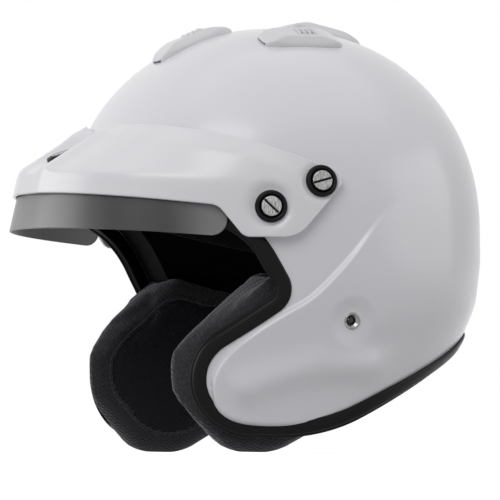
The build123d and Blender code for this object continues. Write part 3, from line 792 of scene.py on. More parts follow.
FRONT_COLUMNS = 48
SIDE_COLUMNS = 216
REAR_COLUMNS = 80
SIDE_TURNS = (radians(44), radians(116))
LOW_ROWS = 210
TOP_ROWS = 88
LOWEST_RISE = radians(-64)
SIDE_TOP = radians(12)
RIM_INSET = 2.0

opening_arcs, opening_lines = rounded_pieces(OPENING_SHARES)
OPENING = np.concatenate([piece for pair in zip(opening_arcs, opening_lines) for piece in pair])


CREASE = ((-38, 22), (-19, 3), (1, -20.5), (22.6, -42), (38.4, -52), (53.6, -62), (68.5, -75),
          (76.5, -88), (78, -100), (73, -113), (60, -120), (36, -121.5), (14, -118.5), (-10, -111))
CREASE_TURN = 8
CREASE_RISE = 3.4
CREASE_WIDTH = 3.6
CREASE_FALL = 46.0
CREASE_EASE = 16.0
CREASE_FADE = ((0.0, 0.3), (0.5, 1.0))
CURVE_STEPS = 12
RIDGE = ((70, -104), (58, -98), (36, -90), (8, -85), (-18, -85), (-38, -88))
RIDGE_RISE = 3.2
RIDGE_WIDTH = 10.0
RIDGE_FADE = ((0.0, 0.2), (0.75, 1.0))
SIDE_FADE = (35, 70)
REAR_FADE = (66, 116)
LIP_FLARE = 2.4
LIP_REACH = 8.0
REAR_CHANNEL = 0.9
REAR_CHANNEL_HEIGHT = -32.0
REAR_CHANNEL_WIDTH = 10.0
TERMINAL_PLACE = np.array((-0.033 * REACH, -0.449 * CROWN))
TERMINAL_HOLE = 4.9
TERMINAL_DISH = 5.6


def curve_through(points, steps=CURVE_STEPS):
    """Smooth curve through given points in the side view."""
    points = np.asarray(points, float)
    fine = np.linspace(0, len(points) - 1, steps * (len(points) - 1) + 1)
    i = np.minimum(fine.astype(int), len(points) - 2)
    return cubic((fine - i)[:, None], points, np.gradient(points, axis=0), i)


def beside(side_points, curve):
    """Signed distance to an open curve, above 0 on its right, and the share of it passed."""
    flat = side_points.reshape(-1, 2)
    best = np.full(len(flat), 1e9)
    sign = np.zeros(len(flat))
    share_of = np.zeros(len(flat))
    count = len(curve) - 1
    for number, (a, b) in enumerate(zip(curve[:-1], curve[1:])):
        side = b - a
        share, gap = gaps_from(flat, a, b)
        distance = np.sqrt(np.einsum("ij,ij->i", gap, gap))
        nearer = distance < best
        best = np.where(nearer, distance, best)
        sign = np.where(nearer, np.sign(side[1] * gap[:, 0] - side[0] * gap[:, 1]), sign)
        share_of = np.where(nearer, (number + share) / count, share_of)
    shape = side_points.shape[:-1]
    return (best * sign).reshape(shape), share_of.reshape(shape)


def crease_gap(side):
    """Distance to the crease, above 0 on the cheek, and its strength; eased between its two runs."""
    curve = curve_through(CREASE)
    turn = CREASE_TURN * CURVE_STEPS
    upper, upper_share = beside(side, curve[:turn + 1])
    lower, lower_share = beside(side, curve[turn:])
    near = np.minimum(upper, lower)
    gap = near + (soft_min(upper, lower, CREASE_EASE) - near) * smooth_step(near, 3, CREASE_EASE)
    weight = smooth_step(lower - upper, -CREASE_EASE, CREASE_EASE)
    upper_share = smooth_step(upper_share, *CREASE_FADE[0])
    lower_share = 1 - smooth_step(lower_share, *CREASE_FADE[1])
    return gap, weight * upper_share + (1 - weight) * lower_share


def shell_relief(points, inside):
    """Raised and sunk character of the side, in millimetres along the normal."""
    side = side_view(points)
    sideways = smooth_step(np.abs(points[..., 0]), *SIDE_FADE)
    gap, share = crease_gap(side)
    step = smooth_step(gap, -CREASE_WIDTH / 2, CREASE_WIDTH / 2) * np.exp(-np.maximum(gap, 0) / CREASE_FALL)
    relief = CREASE_RISE * step * share
    gap, share = beside(side, curve_through(RIDGE))
    ends = smooth_step(share, *RIDGE_FADE[0]) * (1 - smooth_step(share, *RIDGE_FADE[1]))
    relief += RIDGE_RISE * np.exp(-(gap / RIDGE_WIDTH)**2) * ends
    rearward = 1 - smooth_step(side[..., 0], -20, 40)
    low = 1 - smooth_step(points[..., 2], -40, 0)
    relief += LIP_FLARE * np.exp(-np.maximum(inside, 0) / LIP_REACH) * rearward * low
    behind = smooth_step(points[..., 1], *REAR_FADE)
    channel = np.exp(-((points[..., 2] - REAR_CHANNEL_HEIGHT) / REAR_CHANNEL_WIDTH)**2)
    relief = relief * sideways - REAR_CHANNEL * channel * behind
    relief += LIP_FLARE * np.exp(-np.maximum(inside, 0) / LIP_REACH) * low * behind * (1 - sideways)
    near = np.linalg.norm(side - TERMINAL_PLACE, axis=-1)
    return relief * smooth_step(near, TERMINAL_DISH, TERMINAL_DISH * 3)


def shell_points():
    """Points of the shell all round, closest over the creased sides, and distances inside its edges."""
    turns = np.concatenate([np.linspace(0, SIDE_TURNS[0], FRONT_COLUMNS, endpoint=False),
                            np.linspace(*SIDE_TURNS, SIDE_COLUMNS, endpoint=False),
                            np.linspace(SIDE_TURNS[1], pi, REAR_COLUMNS)])
    rises = np.concatenate([np.linspace(LOWEST_RISE, SIDE_TOP, LOW_ROWS, endpoint=False),
                            np.linspace(SIDE_TOP, pi / 2, TOP_ROWS)])
    rise, turn = np.meshgrid(rises, turns, indexing="ij")
    points = out_to(shell_form, directions_of(np.stack([turn, rise], axis=-1)))
    side = side_view(points)
    inside = distance_inside(side, OPENING) - RIM_INSET
    points = points + normals_of(shell_form, points) * shell_relief(points, inside)[..., None]
    inside = np.minimum(inside, np.linalg.norm(side - TERMINAL_PLACE, axis=-1) - TERMINAL_HOLE)
    other = points[:, -2:0:-1] * (-1, 1, 1)
    return np.concatenate([points, other], axis=1), np.concatenate([inside, inside[:, -2:0:-1]], axis=1)


def outer_shell():
    points, inside = shell_points()
    quads = grid_faces(*inside.shape, closed_columns=True)
    flat = points.reshape(-1, 3)
    level = inside.reshape(-1)
    kept = level[quads] > 0
    faces = [tuple(quad) for quad in quads[kept.all(axis=1)]]
    extra = []
    cuts = {}

    def cut(a, b):
        key = (min(a, b), max(a, b))
        if key not in cuts:
            share = level[a] / (level[a] - level[b])
            cuts[key] = len(flat) + len(extra)
            extra.append(flat[a] + (flat[b] - flat[a]) * share)
        return cuts[key]

    for quad in quads[kept.any(axis=1) & ~kept.all(axis=1)]:
        face = []
        for a, b in zip(quad, np.roll(quad, -1)):
            if level[a] > 0:
                face.append(a)
            if (level[a] > 0) != (level[b] > 0):
                face.append(cut(a, b))
        if len(face) > 2:
            faces.append(tuple(face))
    piece = new_piece("shell_skin", np.concatenate([flat, np.array(extra)]), faces, WHITE)
    welded(piece, 0.02)
    wall = piece.modifiers.new("wall", "SOLIDIFY")
    wall.thickness = WALL * MM
    wall.offset = -1
    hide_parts("outer_shell")
    return piece


outer_shell()


# Edge trim

TRIM_PROFILE = (
    (-8.6, -0.1), (-8.6, 0.35), (-8.2, 0.95), (-7.2, 1.3), (-5.0, 1.55), (-2.5, 1.55), (-0.9, 1.25),
    (-0.1, 0.7), (0.35, 0.05), (0.6, -0.35), (0.95, -0.1), (1.5, -0.15), (1.9, -0.55), (2.0, -1.15),
    (1.7, -1.7), (1.1, -2.0), (0.8, -2.6), (0.75, -4.4), (0.3, -5.3), (-1.5, -5.1), (-5.0, -5.0),
    (-7.8, -4.9), (-8.5, -4.5),
    (-8.5, -3.8), (-7.5, -3.7), (-2.2, -3.7), (-2.2, 0.0), (-7.5, -0.1),
)


def rim_path(count):
    """Points all round the rim: down the left side to the rear, and back up the right."""
    run = run_of(opening_arcs, opening_lines, 0, RIM_SIDES)
    fine = along(run, np.linspace(0, length_of(run), 6001))
    inside = in_middle(shell_form, fine)
    first = np.argmax(inside)
    last = len(inside) - 1 - np.argmax(inside[::-1])
    shares = (1 - np.cos(np.linspace(0, pi, 4001))) / 2
    lengths = np.linspace(0, length_of(run), 6001)
    places = lengths[first] + (lengths[last] - lengths[first]) * shares
    points = across_at(shell_form, along(run, places))
    points[0, 0] = points[-1, 0] = 0
    steps = lengths_of(points)
    wanted = np.interp(np.linspace(0, steps[-1], count), steps, places)
    left = across_at(shell_form, along(run, wanted))
    left[0, 0] = left[-1, 0] = 0
    right = left[-2:0:-1].copy()
    right[:, 0] *= -1
    return np.concatenate([left, right])


def sweep_round(path, normals, profile):
    """Closed sweep of a closed profile in (towards the opening, outwards) terms."""
    tangent = np.roll(path, -1, axis=0) - np.roll(path, 1, axis=0)
    tangent /= np.linalg.norm(tangent, axis=1, keepdims=True)
    outward_ = normals - tangent * np.einsum("ij,ij->i", normals, tangent)[:, None]
    outward_ /= np.linalg.norm(outward_, axis=1, keepdims=True)
    side = np.cross(tangent, outward_)
    profile = np.asarray(profile)
    return (path[:, None] + side[:, None] * profile[None, :, :1] + outward_[:, None] * profile[None, :, 1:])


def edge_trim():
    path = rim_path(420)
    normals = normals_of(shell_form, path)
    path += normals * shell_relief(path, np.zeros(len(path)))[:, None]
    rings = sweep_round(path, normals, TRIM_PROFILE)
    piece = outward(new_piece("trim_channel", rings, tube_faces(*rings.shape[:2], True), BLACK_RUBBER))
    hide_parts("edge_trim")
    return piece


edge_trim()


# Seats on the shell

def seat_at(forward, height=None, lateral=0.0):
    """Origin, forward, sideways and outward directions of a seat on the side or top of the shell."""
    if height is None:
        origin = out_from(shell_form, np.array((lateral, -forward, 0.0)), np.array((0.0, 0.0, 1.0)), 40)
    else:
        origin = across_at(shell_form, np.array([(forward, height)]))[0]
    normal = normals_of(shell_form, origin[None])[0]
    ahead = np.array((0.0, -1.0, 0.0))
    ahead -= normal * (ahead @ normal)
    ahead /= np.linalg.norm(ahead)
    return origin, ahead, np.cross(normal, ahead), normal


def opposite(seat):
    """The same seat on the other side of the helmet."""
    flip = np.array((-1.0, 1.0, 1.0))
    return tuple(part * flip for part in seat)


def from_seat(seat, along_, beside_, up):
    origin, ahead, side, normal = seat
    return (origin + along_[..., None] * ahead + beside_[..., None] * side + up[..., None] * normal)


# Peak and tinted strip

PEAK_EDGE = 0.8
PEAK_COLUMNS = 150
PEAK_ROWS = 90
TOP_TAPER = 2.3
TOP_TAPER_REACH = 16.0


SCREW_SHARES = ((0.386, 0.0895), (0.146, 0.209))
SPOT_FACE = 11.2
SPOT_SLOPE = 0.45
SPOT_BLEND = 1.2
LIP_RISE = 3.0
LIP_PLACE = 19.0
LIP_WIDTH = 9.0
LIP_FADE = (96.0, 118.0)

screw_seats = [seat_at(forward * REACH, height * CROWN) for forward, height in SCREW_SHARES]


def bolted_form(points):
    """The peak's form with soft lips beside its valley and a flat face under each side screw."""
    x, y, z = np.moveaxis(points, -1, 0)
    lip = LIP_RISE * np.exp(-((np.abs(x) - LIP_PLACE) / LIP_WIDTH)**2) * smooth_step(-y, *LIP_FADE)
    form = peak_form(points - lip[..., None] * np.array((0, 0, 1)))
    for origin, _, _, normal in screw_seats:
        gap = np.stack([np.abs(x), y, z], axis=-1) - origin
        height = gap @ normal
        off = np.sqrt(np.maximum((gap**2).sum(axis=-1) - height**2, 0))
        top = PEAK_GROW + SPOT_SLOPE * np.maximum(off - SPOT_FACE, 0)
        form = np.where(off < 2 * SPOT_FACE, soft_max(form, height - top, SPOT_BLEND), form)
    return form


def peak():
    points, to_low, to_top, to_end = patch(bolted_form, PEAK_SHARES, PEAK_TIP, PEAK_TIP,
                                           PEAK_COLUMNS, PEAK_ROWS)
    distance = mirrored(np.minimum(np.minimum(to_low, to_top), to_end))
    to_top = mirrored(to_top)
    points = mirrored(points)
    normals = normals_of(bolted_form, points, 0.6)
    ahead = smooth_step(-points[..., 1], 20, 60)
    taper = TOP_TAPER * ahead * (1 - smooth_step(to_top, 0, TOP_TAPER_REACH))
    points = points - normals * taper[..., None]
    piece = sheet_piece("peak_sheet", points, normals, PEAK_WALL, PEAK_EDGE, distance, PEAK_WHITE)
    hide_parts("peak")
    return piece


def tint_strip():
    points, to_low, to_top, to_end = patch(strip_form, STRIP_SHARES, STRIP_TIP, STRIP_TIP + 1, 120, 40)
    distance = mirrored(np.minimum(np.minimum(to_low, to_top), to_end))
    points = mirrored(points)
    normals = normals_of(strip_form, points)
    piece = sheet_piece("strip_sheet", points, normals, STRIP_WALL, 0.4, distance, TINT)
    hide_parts("tint_strip")
    return piece


peak()
tint_strip()


def joined_piece(name, pieces, material, body="helmet"):
    """One object from several lists of points and faces."""
    points, faces, start = [], [], 0
    for part, part_faces in pieces:
        part = part.reshape(-1, 3)
        points.append(part)
        faces += [tuple(np.array(face) + start) for face in part_faces]
        start += len(part)
    return outward(new_piece(name, np.concatenate(points), faces, material, body))


def turned(seat, profile, capped=(0, -1), segments=64):
    """Points and faces of a profile of (radius, height) turned about a seat's axis, its ends capped."""
    profile = np.asarray(profile, float)
    turns = np.linspace(0, 2 * pi, segments, endpoint=False)[:, None]
    radius, height = profile[None, :, 0], profile[None, :, 1] + turns * 0
    points = from_seat(seat, radius * np.cos(turns), radius * np.sin(turns), height)
    faces = [tuple(face) for face in grid_faces(segments, len(profile), closed_rows=True)]
    for end in capped:
        column = end % len(profile)
        faces.append(tuple(i * len(profile) + column for i in range(segments)))
    return points, faces


# Peak screws, their collars and the terminals

SLOT_TURNS = (-45.0, 15.0)
CENTRE_SCREW = 141.0
COLLAR_PROFILE = (
    (3.2, 4.3), (9.6, 4.05), (10.0, 4.2), (10.05, 5.0), (9.85, 5.9), (9.3, 6.5), (8.6, 6.75),
    (8.0, 6.65), (7.5, 6.3), (7.05, 5.75), (6.7, 5.5), (3.2, 5.4),
)
HEAD_RADIUS = 6.2
HEAD_TOP = 7.55
HEAD_LOW = 5.45
HEAD_EDGE = 0.7
SLOT_HALF = 0.8
SLOT_DEPTH = 1.1
# Insets and lift of the dark sheets painted as shade in the screw slots.
SHADE_SHEET_OFF = (0.08, 0.25, 0.06)
TERMINAL_PROFILE = (
    (5.25, -1.0), (5.3, 0.05), (5.15, 0.3), (4.75, 0.42), (4.35, 0.3), (3.9, -0.15), (3.2, -0.9),
    (2.7, -1.3), (2.5, -1.6), (2.8, -1.9), (2.5, -2.2), (2.8, -2.5), (2.5, -2.8), (2.8, -3.1), (2.5, -3.4),
    (2.8, -3.7), (2.5, -4.0), (2.8, -4.3), (2.5, -4.6), (2.5, -8.5),
)


def centre_seat():
    slope = Vector((0, VALLEY_FROM[0] - VALLEY_TO[0], VALLEY_TO[1] - VALLEY_FROM[1])).normalized()
    ahead = np.array(slope)
    normal = np.cross(np.array((1.0, 0.0, 0.0)), ahead)
    normal = normal if normal[2] > 0 else -normal
    share = (CENTRE_SCREW - VALLEY_FROM[0]) / (VALLEY_TO[0] - VALLEY_FROM[0])
    floor_height = VALLEY_FROM[1] + share * (VALLEY_TO[1] - VALLEY_FROM[1])
    origin = np.array((0.0, -CENTRE_SCREW, floor_height)) - normal * PEAK_GROW
    return origin, ahead, np.cross(normal, ahead), normal


def from_turned_seat(seat, turn, x, y, up):
    """Points across and along a slot that is turned by an angle in degrees."""
    angle = radians(turn)
    return from_seat(seat, y * cos(angle) - x * sin(angle), y * sin(angle) + x * cos(angle), up)


def slotted_head(seat, turn):
    """Disc head with a rounded edge and a straight slot, on a grid in line with the slot."""
    steps = np.concatenate([np.linspace(-1, -SLOT_HALF / HEAD_RADIUS - 0.02, 14),
                            np.array((-1.0, -0.8)) * SLOT_HALF / HEAD_RADIUS])
    steps = np.concatenate([steps, -steps[::-1]])
    rows = -np.cos(np.linspace(0, pi, 41))
    across, run = np.meshgrid(steps, rows, indexing="ij")
    run = run * np.sqrt(np.maximum(1 - across**2, 0))
    from_rim = HEAD_RADIUS * (1 - np.hypot(across, run))
    top = HEAD_TOP - fallen(from_rim, HEAD_EDGE)
    in_slot = np.abs(across) * HEAD_RADIUS < SLOT_HALF - 0.05
    top = np.where(in_slot, HEAD_TOP - SLOT_DEPTH, top)
    top_points = from_turned_seat(seat, turn, across * HEAD_RADIUS, run * HEAD_RADIUS, top)
    faces = [tuple(face) for face in grid_faces(*top.shape)]
    side = turned(seat, ((HEAD_RADIUS, HEAD_LOW), (HEAD_RADIUS, HEAD_TOP - HEAD_EDGE)), (0,))
    return [(top_points, faces), side]


def slot_shade_sheet(seat, turn):
    """Points and face of a dark sheet laid over a slot's bottom: painted shade in the slot."""
    half, reach = SLOT_HALF - SHADE_SHEET_OFF[0], HEAD_RADIUS - SHADE_SHEET_OFF[1]
    x = np.array((-half, half, half, -half))
    y = np.array((-reach, -reach, reach, reach))
    up = np.full(4, HEAD_TOP - SLOT_DEPTH + SHADE_SHEET_OFF[2])
    return from_turned_seat(seat, turn, x, y, up), [(0, 1, 2, 3)]


def fasteners():
    collars, heads, slots = [], [], []
    for seat, turn in zip(screw_seats, SLOT_TURNS):
        for place in (seat, opposite(seat)):
            collars.append(turned(place, COLLAR_PROFILE))
            heads += slotted_head(place, turn)
            slots.append(slot_shade_sheet(place, turn))
    collars.append(turned(centre_seat(), COLLAR_PROFILE))
    heads += slotted_head(centre_seat(), 0)
    slots.append(slot_shade_sheet(centre_seat(), 0))
    # Dark sheets in the slots: painted shade, not part of the screws.
    joined_piece("slot_shade_sheets", slots, COLLAR_RUBBER)
    rings = joined_piece("collar_rings", collars, COLLAR_RUBBER)
    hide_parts("peak_collars")
    screws = joined_piece("screw_heads", heads, HEAD_METAL)
    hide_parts("peak_screws")


def terminals():
    seat = seat_at(*TERMINAL_PLACE)
    for name, place in (("left", seat), ("right", opposite(seat))):
        cup = turned(place, TERMINAL_PROFILE, (-1,))
        piece = joined_piece(f"terminal_cup_{name}", [cup], TERMINAL_METAL)
        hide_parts(f"restraint_terminal_{name}")


fasteners()
terminals()


# Vents and their slides

VENT_LENGTH = 54.0
VENT_WIDTH = 23.0
VENT_TOP = 5.6
VENT_TOP_LENGTH = 24.0
VENT_TOP_WIDTH = 15.0
VENT_RIM = 1.9
VENT_ROUND = 3.6
VENT_SKIN = 1.2
VENT_TURNS = 128
VENT_RINGS = np.concatenate([np.linspace(0, 0.9, 34),
                             (0.925, 0.945, 0.96, 0.972, 0.982, 0.99, 0.996, 1.0, 1.0, 1.0)])
VENT_BLEND = 0.25
VENT_FALL = 1.15
VENT_EDGE = (0.93, 0.07, 0.55)
VENT_FOOT = (0.45, -1.6)
MOUTH_COLUMNS = 5
MOUTH_HALF = 6.5
FRONT_VENT_SHARE = 0.43
SIDE_VENT_SHARES = (0.02, 0.42)
REAR_VENT_SHARE = -0.26
SLIDE_LENGTH = 14.0
SLIDE_WIDTH = 10.0
SLIDE_START = -3.0
RIB_COUNT = 4
RIB_RISE = 1.4
SLIDE_EDGE = 0.6
SLIDE_THICK = 1.0


def dome_drop(seat, ahead, beside_):
    """Height of the dome over a seat's plane."""
    flat = from_seat(seat, ahead, beside_, np.zeros_like(ahead))
    points = flat
    for _ in range(4):
        points = points - seat[3] * shell_form(points)[..., None]
    return (points - flat) @ seat[3]


def vent_cover(name, seat, mouth_ahead):
    turns = np.linspace(0, 2 * pi, VENT_TURNS, endpoint=False)
    turn, ring = np.meshgrid(turns, VENT_RINGS, indexing="ij")
    across = signed_power(np.sin(turn), 2 / VENT_ROUND) * ring * VENT_WIDTH / 2
    ahead = signed_power(np.cos(turn), 2 / VENT_ROUND) * ring * VENT_LENGTH / 2
    drop = dome_drop(seat, ahead, across)
    lengthwise = (np.abs(ahead) - VENT_TOP_LENGTH / 2) / (VENT_LENGTH - VENT_TOP_LENGTH) * 2
    crosswise = (np.abs(across) - VENT_TOP_WIDTH / 2) / (VENT_WIDTH - VENT_TOP_WIDTH) * 2
    fall = np.clip(soft_max(lengthwise, crosswise, VENT_BLEND), 0, 1)
    rim = drop + VENT_RIM
    up = VENT_TOP + (rim - VENT_TOP) * (fall**VENT_FALL)
    edge_from, edge_width, edge_fall = VENT_EDGE
    edge = np.clip((ring - edge_from) / edge_width, 0, 1)
    up -= VENT_RIM * edge_fall * (1 - np.sqrt(np.maximum(1 - edge**2, 0)))
    for column, share in zip((-2, -1), VENT_FOOT):
        up[:, column] = drop[:, column] + share * VENT_RIM
    points = from_seat(seat, ahead, across, up)
    columns = len(VENT_RINGS)
    quads = grid_faces(VENT_TURNS, columns, closed_rows=True)
    open_end = np.cos(turns) * mouth_ahead > 0
    mouth = open_end & (np.abs(np.sin(turns))**(2 / VENT_ROUND) * VENT_WIDTH / 2 < MOUTH_HALF)
    rows_of = quads[:, 0] // columns
    columns_of = quads.min(axis=1) % columns
    cut = mouth[rows_of] & (columns_of >= columns - MOUTH_COLUMNS) & (columns_of < columns - 1)
    faces = [tuple(face) for face in quads[~cut]]
    piece = new_piece(name, points, faces, VENT_WHITE)
    welded(piece, 0.01, facing=True)
    skin = piece.modifiers.new("skin", "SOLIDIFY")
    skin.thickness = VENT_SKIN * MM
    skin.offset = -1
    return piece


def vent_slide(name, seat, body):
    """Finger slide with rounded ribs across it."""
    rows = np.linspace(-1, 1, 113)
    columns = np.linspace(-1, 1, 41)
    run, across = np.meshgrid(rows, columns, indexing="ij")
    ribs = np.maximum(np.cos(run * pi * RIB_COUNT + pi * (RIB_COUNT % 2 == 0)), 0)**0.8
    edge = np.clip((1 - np.maximum(np.abs(run)**8, np.abs(across)**8)) * 3, 0, 1)**0.5
    up = VENT_TOP - SLIDE_EDGE + SLIDE_EDGE * edge + RIB_RISE * ribs * edge * (1 - np.abs(across)**6)
    place = (seat, SLIDE_START + run * SLIDE_LENGTH / 2, across * SLIDE_WIDTH / 2)
    top = from_seat(*place, up)
    under = from_seat(*place, np.full_like(up, VENT_TOP - SLIDE_THICK))
    return outward(new_piece(name, *closed_sheet(top, under), VENT_WHITE, body))


def vents():
    forward, lateral = SIDE_VENT_SHARES[0] * REACH, SIDE_VENT_SHARES[1] * HALF
    seats = {
        "front": seat_at(FRONT_VENT_SHARE * REACH),
        "left": seat_at(forward, lateral=lateral),
        "right": seat_at(forward, lateral=-lateral),
        "rear": seat_at(REAR_VENT_SHARE * REACH),
    }
    for name, seat in seats.items():
        cover = vent_cover(f"vent_cover_{name}", seat, -1 if name == "rear" else 1)
        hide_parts(f"vent_housing_{name}")
        if name != "rear":
            slide = vent_slide(f"vent_ribs_{name}", seat, f"{name}_slide")
            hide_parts(f"vent_slide_{name}")


vents()


# Soft parts

LINER_FRONT = 104.0
LINER_HALF = 86.0
LINER_CROWN = 90.0
FIT = 0.3
BAND_TILT = 11.0
BAND_MIDDLE = 16.0
BAND_HALF = 21.5
BAND_THICK = 8.5
BAND_HEM = 2.2
ROLL_LOW = -66.0
ROLL_HIGH = -27.8
ROLL_THICK = 15.0
CROWN_PAD_REACH = 55.5
CROWN_PAD_THICK = 7.7
CROWN_PAD_HEM = 0.8
CROWN_PAD_SEAMS = 6
CROWN_GROOVE = 0.28
PAD_ROUND = 2.6
PAD_END = 0.12
END_HEM = 0.6
GROOVE_DEPTH = 1.6
GROOVE_WIDTHS = (0.055, 0.018)
BAND_SEAMS = 10
ROLL_SEAMS = 6
ROLL_TURNS = (radians(112), radians(248))


def cavity_form(points, grow=0.0):
    x, y, z = np.moveaxis(points, -1, 0)
    plan = (np.abs(x) / (LINER_HALF + grow))**PLAN + (np.abs(y) / (LINER_FRONT + grow))**PLAN
    rise = (np.maximum(z, 0) / (LINER_CROWN + grow))**RISE
    return ((plan**(RISE / PLAN) + rise)**(1 / RISE) - 1) * LINER_HALF


def tilted_rays(turn, level, tilt):
    """Level rays out of the helmet's axis, in planes tilted up to the front."""
    angle = radians(tilt)
    origins = np.stack([level * 0, level * sin(angle), level * cos(angle)], axis=-1)
    back = -np.cos(turn)
    directions = np.stack([np.sin(turn), back * cos(angle), -back * sin(angle)], axis=-1)
    return origins, directions


def channel(value, width):
    """A sewn groove: 1 on the seam, 0 past its width."""
    return np.exp(-(value / width)**2)


def radial_seams(turn, seams, width):
    """Sewn grooves spaced evenly round the helmet."""
    return channel((turn * seams / (2 * pi) + 0.5) % 1 - 0.5, width)


def padded_ring(name, turns, low, high, tilt, thick, hem, seams, closed, material):
    """Crowned pad on the liner's wall, as a closed loop of backs and faces."""
    shares = np.linspace(-1, 1, 45)
    turn, share = np.meshgrid(turns, shares, indexing="ij")
    level = (low + high) / 2 + share * (high - low) / 2
    origins, directions = tilted_rays(turn, level, tilt)
    back = out_from(lambda points: cavity_form(points, -FIT), origins, directions)
    crown = np.maximum(1 - np.abs(share)**PAD_ROUND, 0)**0.5
    depth = hem + (thick - hem) * crown
    if not closed:
        end = np.clip(np.minimum(turn - turns[0], turns[-1] - turn) / PAD_END, 0, 1)
        depth = END_HEM + (depth - END_HEM) * np.sqrt(end * (2 - end))
    grooves = channel(share, GROOVE_WIDTHS[0]) + radial_seams(turn, seams, GROOVE_WIDTHS[1])
    depth -= GROOVE_DEPTH * np.minimum(grooves, 1) * crown
    face = back - directions * depth[..., None]
    loop = np.concatenate([back, face[:, ::-1]], axis=1)
    piece = outward(new_piece(name, loop, tube_faces(*loop.shape[:2], closed), material))
    return piece


def lining():
    turns = np.linspace(0, 2 * pi, 288, endpoint=False)
    band = padded_ring("brow_band", turns, BAND_MIDDLE - BAND_HALF, BAND_MIDDLE + BAND_HALF, BAND_TILT,
                       BAND_THICK, BAND_HEM, BAND_SEAMS, True, LINING_KNIT)
    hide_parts("head_band")
    turns = np.linspace(*ROLL_TURNS, 150)
    roll = padded_ring("nape_roll", turns, ROLL_LOW, ROLL_HIGH, 0, ROLL_THICK, BAND_HEM, ROLL_SEAMS,
                       False, PAD_KNIT)
    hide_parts("neck_roll")


def crown_pad():
    turns = np.linspace(0, 2 * pi, 144, endpoint=False)
    rings = np.sin(np.linspace(0, pi / 2, 40))
    turn, ring = np.meshgrid(turns, rings, indexing="ij")
    reach = ring * CROWN_PAD_REACH
    base = np.stack([np.sin(turn) * reach, -np.cos(turn) * reach, ring * 0], axis=-1)
    upward = np.zeros_like(base)
    upward[..., 2] = 1
    back = out_from(lambda points: cavity_form(points, -FIT), base, upward)
    crown = np.maximum(1 - ring**6, 0)**0.5
    grooves = radial_seams(turn, CROWN_PAD_SEAMS, 0.03) * smooth_step(ring, 0.2, 0.45)
    grooves = np.maximum(grooves, channel(ring - 0.34, 0.035))
    depth = CROWN_PAD_HEM + (CROWN_PAD_THICK - CROWN_PAD_HEM) * crown * (1 - CROWN_GROOVE * grooves)
    face = back - upward * depth[..., None]
    loop = np.concatenate([back, face[:, ::-1]], axis=1)
    rows, columns = loop.shape[:2]
    faces = grid_faces(rows, columns, closed_rows=True)
    piece = outward(new_piece("crown_cushion", loop, faces, LINING_KNIT))
    welded(piece, 0.01)
    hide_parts("crown_pad")


lining()
crown_pad()


# Cheek pads: the CAD's solids filled out by a cloth simulation

VOXEL = 0.0042
SHRINK = 1.2
SWELL_CAP = 3.4
CLOTH_PRESSURE = 4.0
CLOTH_FRAMES = 20
SEAM_TURNS = 120
SEAM_EASE = 6
SEAM_INSET = 12.0
SEAM_HALF = 2.6
SEAM_GROOVE = 1.3
PIPING = 0.9


def simulated(piece):
    """Blows the piece out as a stuffed cover, each point moved no further than the cap."""
    settings = piece.modifiers.new("cloth", "CLOTH")
    settings.settings.use_pressure = True
    settings.settings.uniform_pressure_force = CLOTH_PRESSURE
    settings.settings.effector_weights.gravity = 0
    settings.settings.quality = 6
    settings.settings.tension_stiffness = 12
    settings.settings.compression_stiffness = 12
    before = np.array([vertex.co for vertex in piece.data.vertices])
    scene = bpy.context.scene
    for number in range(1, CLOTH_FRAMES + 1):
        scene.frame_set(number)
    depsgraph = bpy.context.evaluated_depsgraph_get()
    after = np.array([vertex.co for vertex in piece.evaluated_get(depsgraph).data.vertices])
    piece.modifiers.remove(settings)
    scene.frame_set(1)
    move = after - before
    size = np.linalg.norm(move, axis=1, keepdims=True)
    move *= np.minimum(1, SWELL_CAP * MM / np.maximum(size, 1e-9))
    piece.data.vertices.foreach_set("co", (before + move).ravel())
    piece.data.update()


def remeshed(node, name):
    """A copy of a CAD node's mesh with even cells."""
    piece = in_scene(name, frame["nodes"][node].data.copy())
    remesh = piece.modifiers.new("even", "REMESH")
    remesh.mode = "VOXEL"
    remesh.voxel_size = VOXEL
    depsgraph = bpy.context.evaluated_depsgraph_get()
    mesh = bpy.data.meshes.new_from_object(piece.evaluated_get(depsgraph))
    piece.modifiers.clear()
    piece.data = mesh
    mesh.materials.clear()
    mesh.materials.append(PAD_KNIT)
    mesh.polygons.foreach_set("use_smooth", [True] * len(mesh.polygons))
    return piece


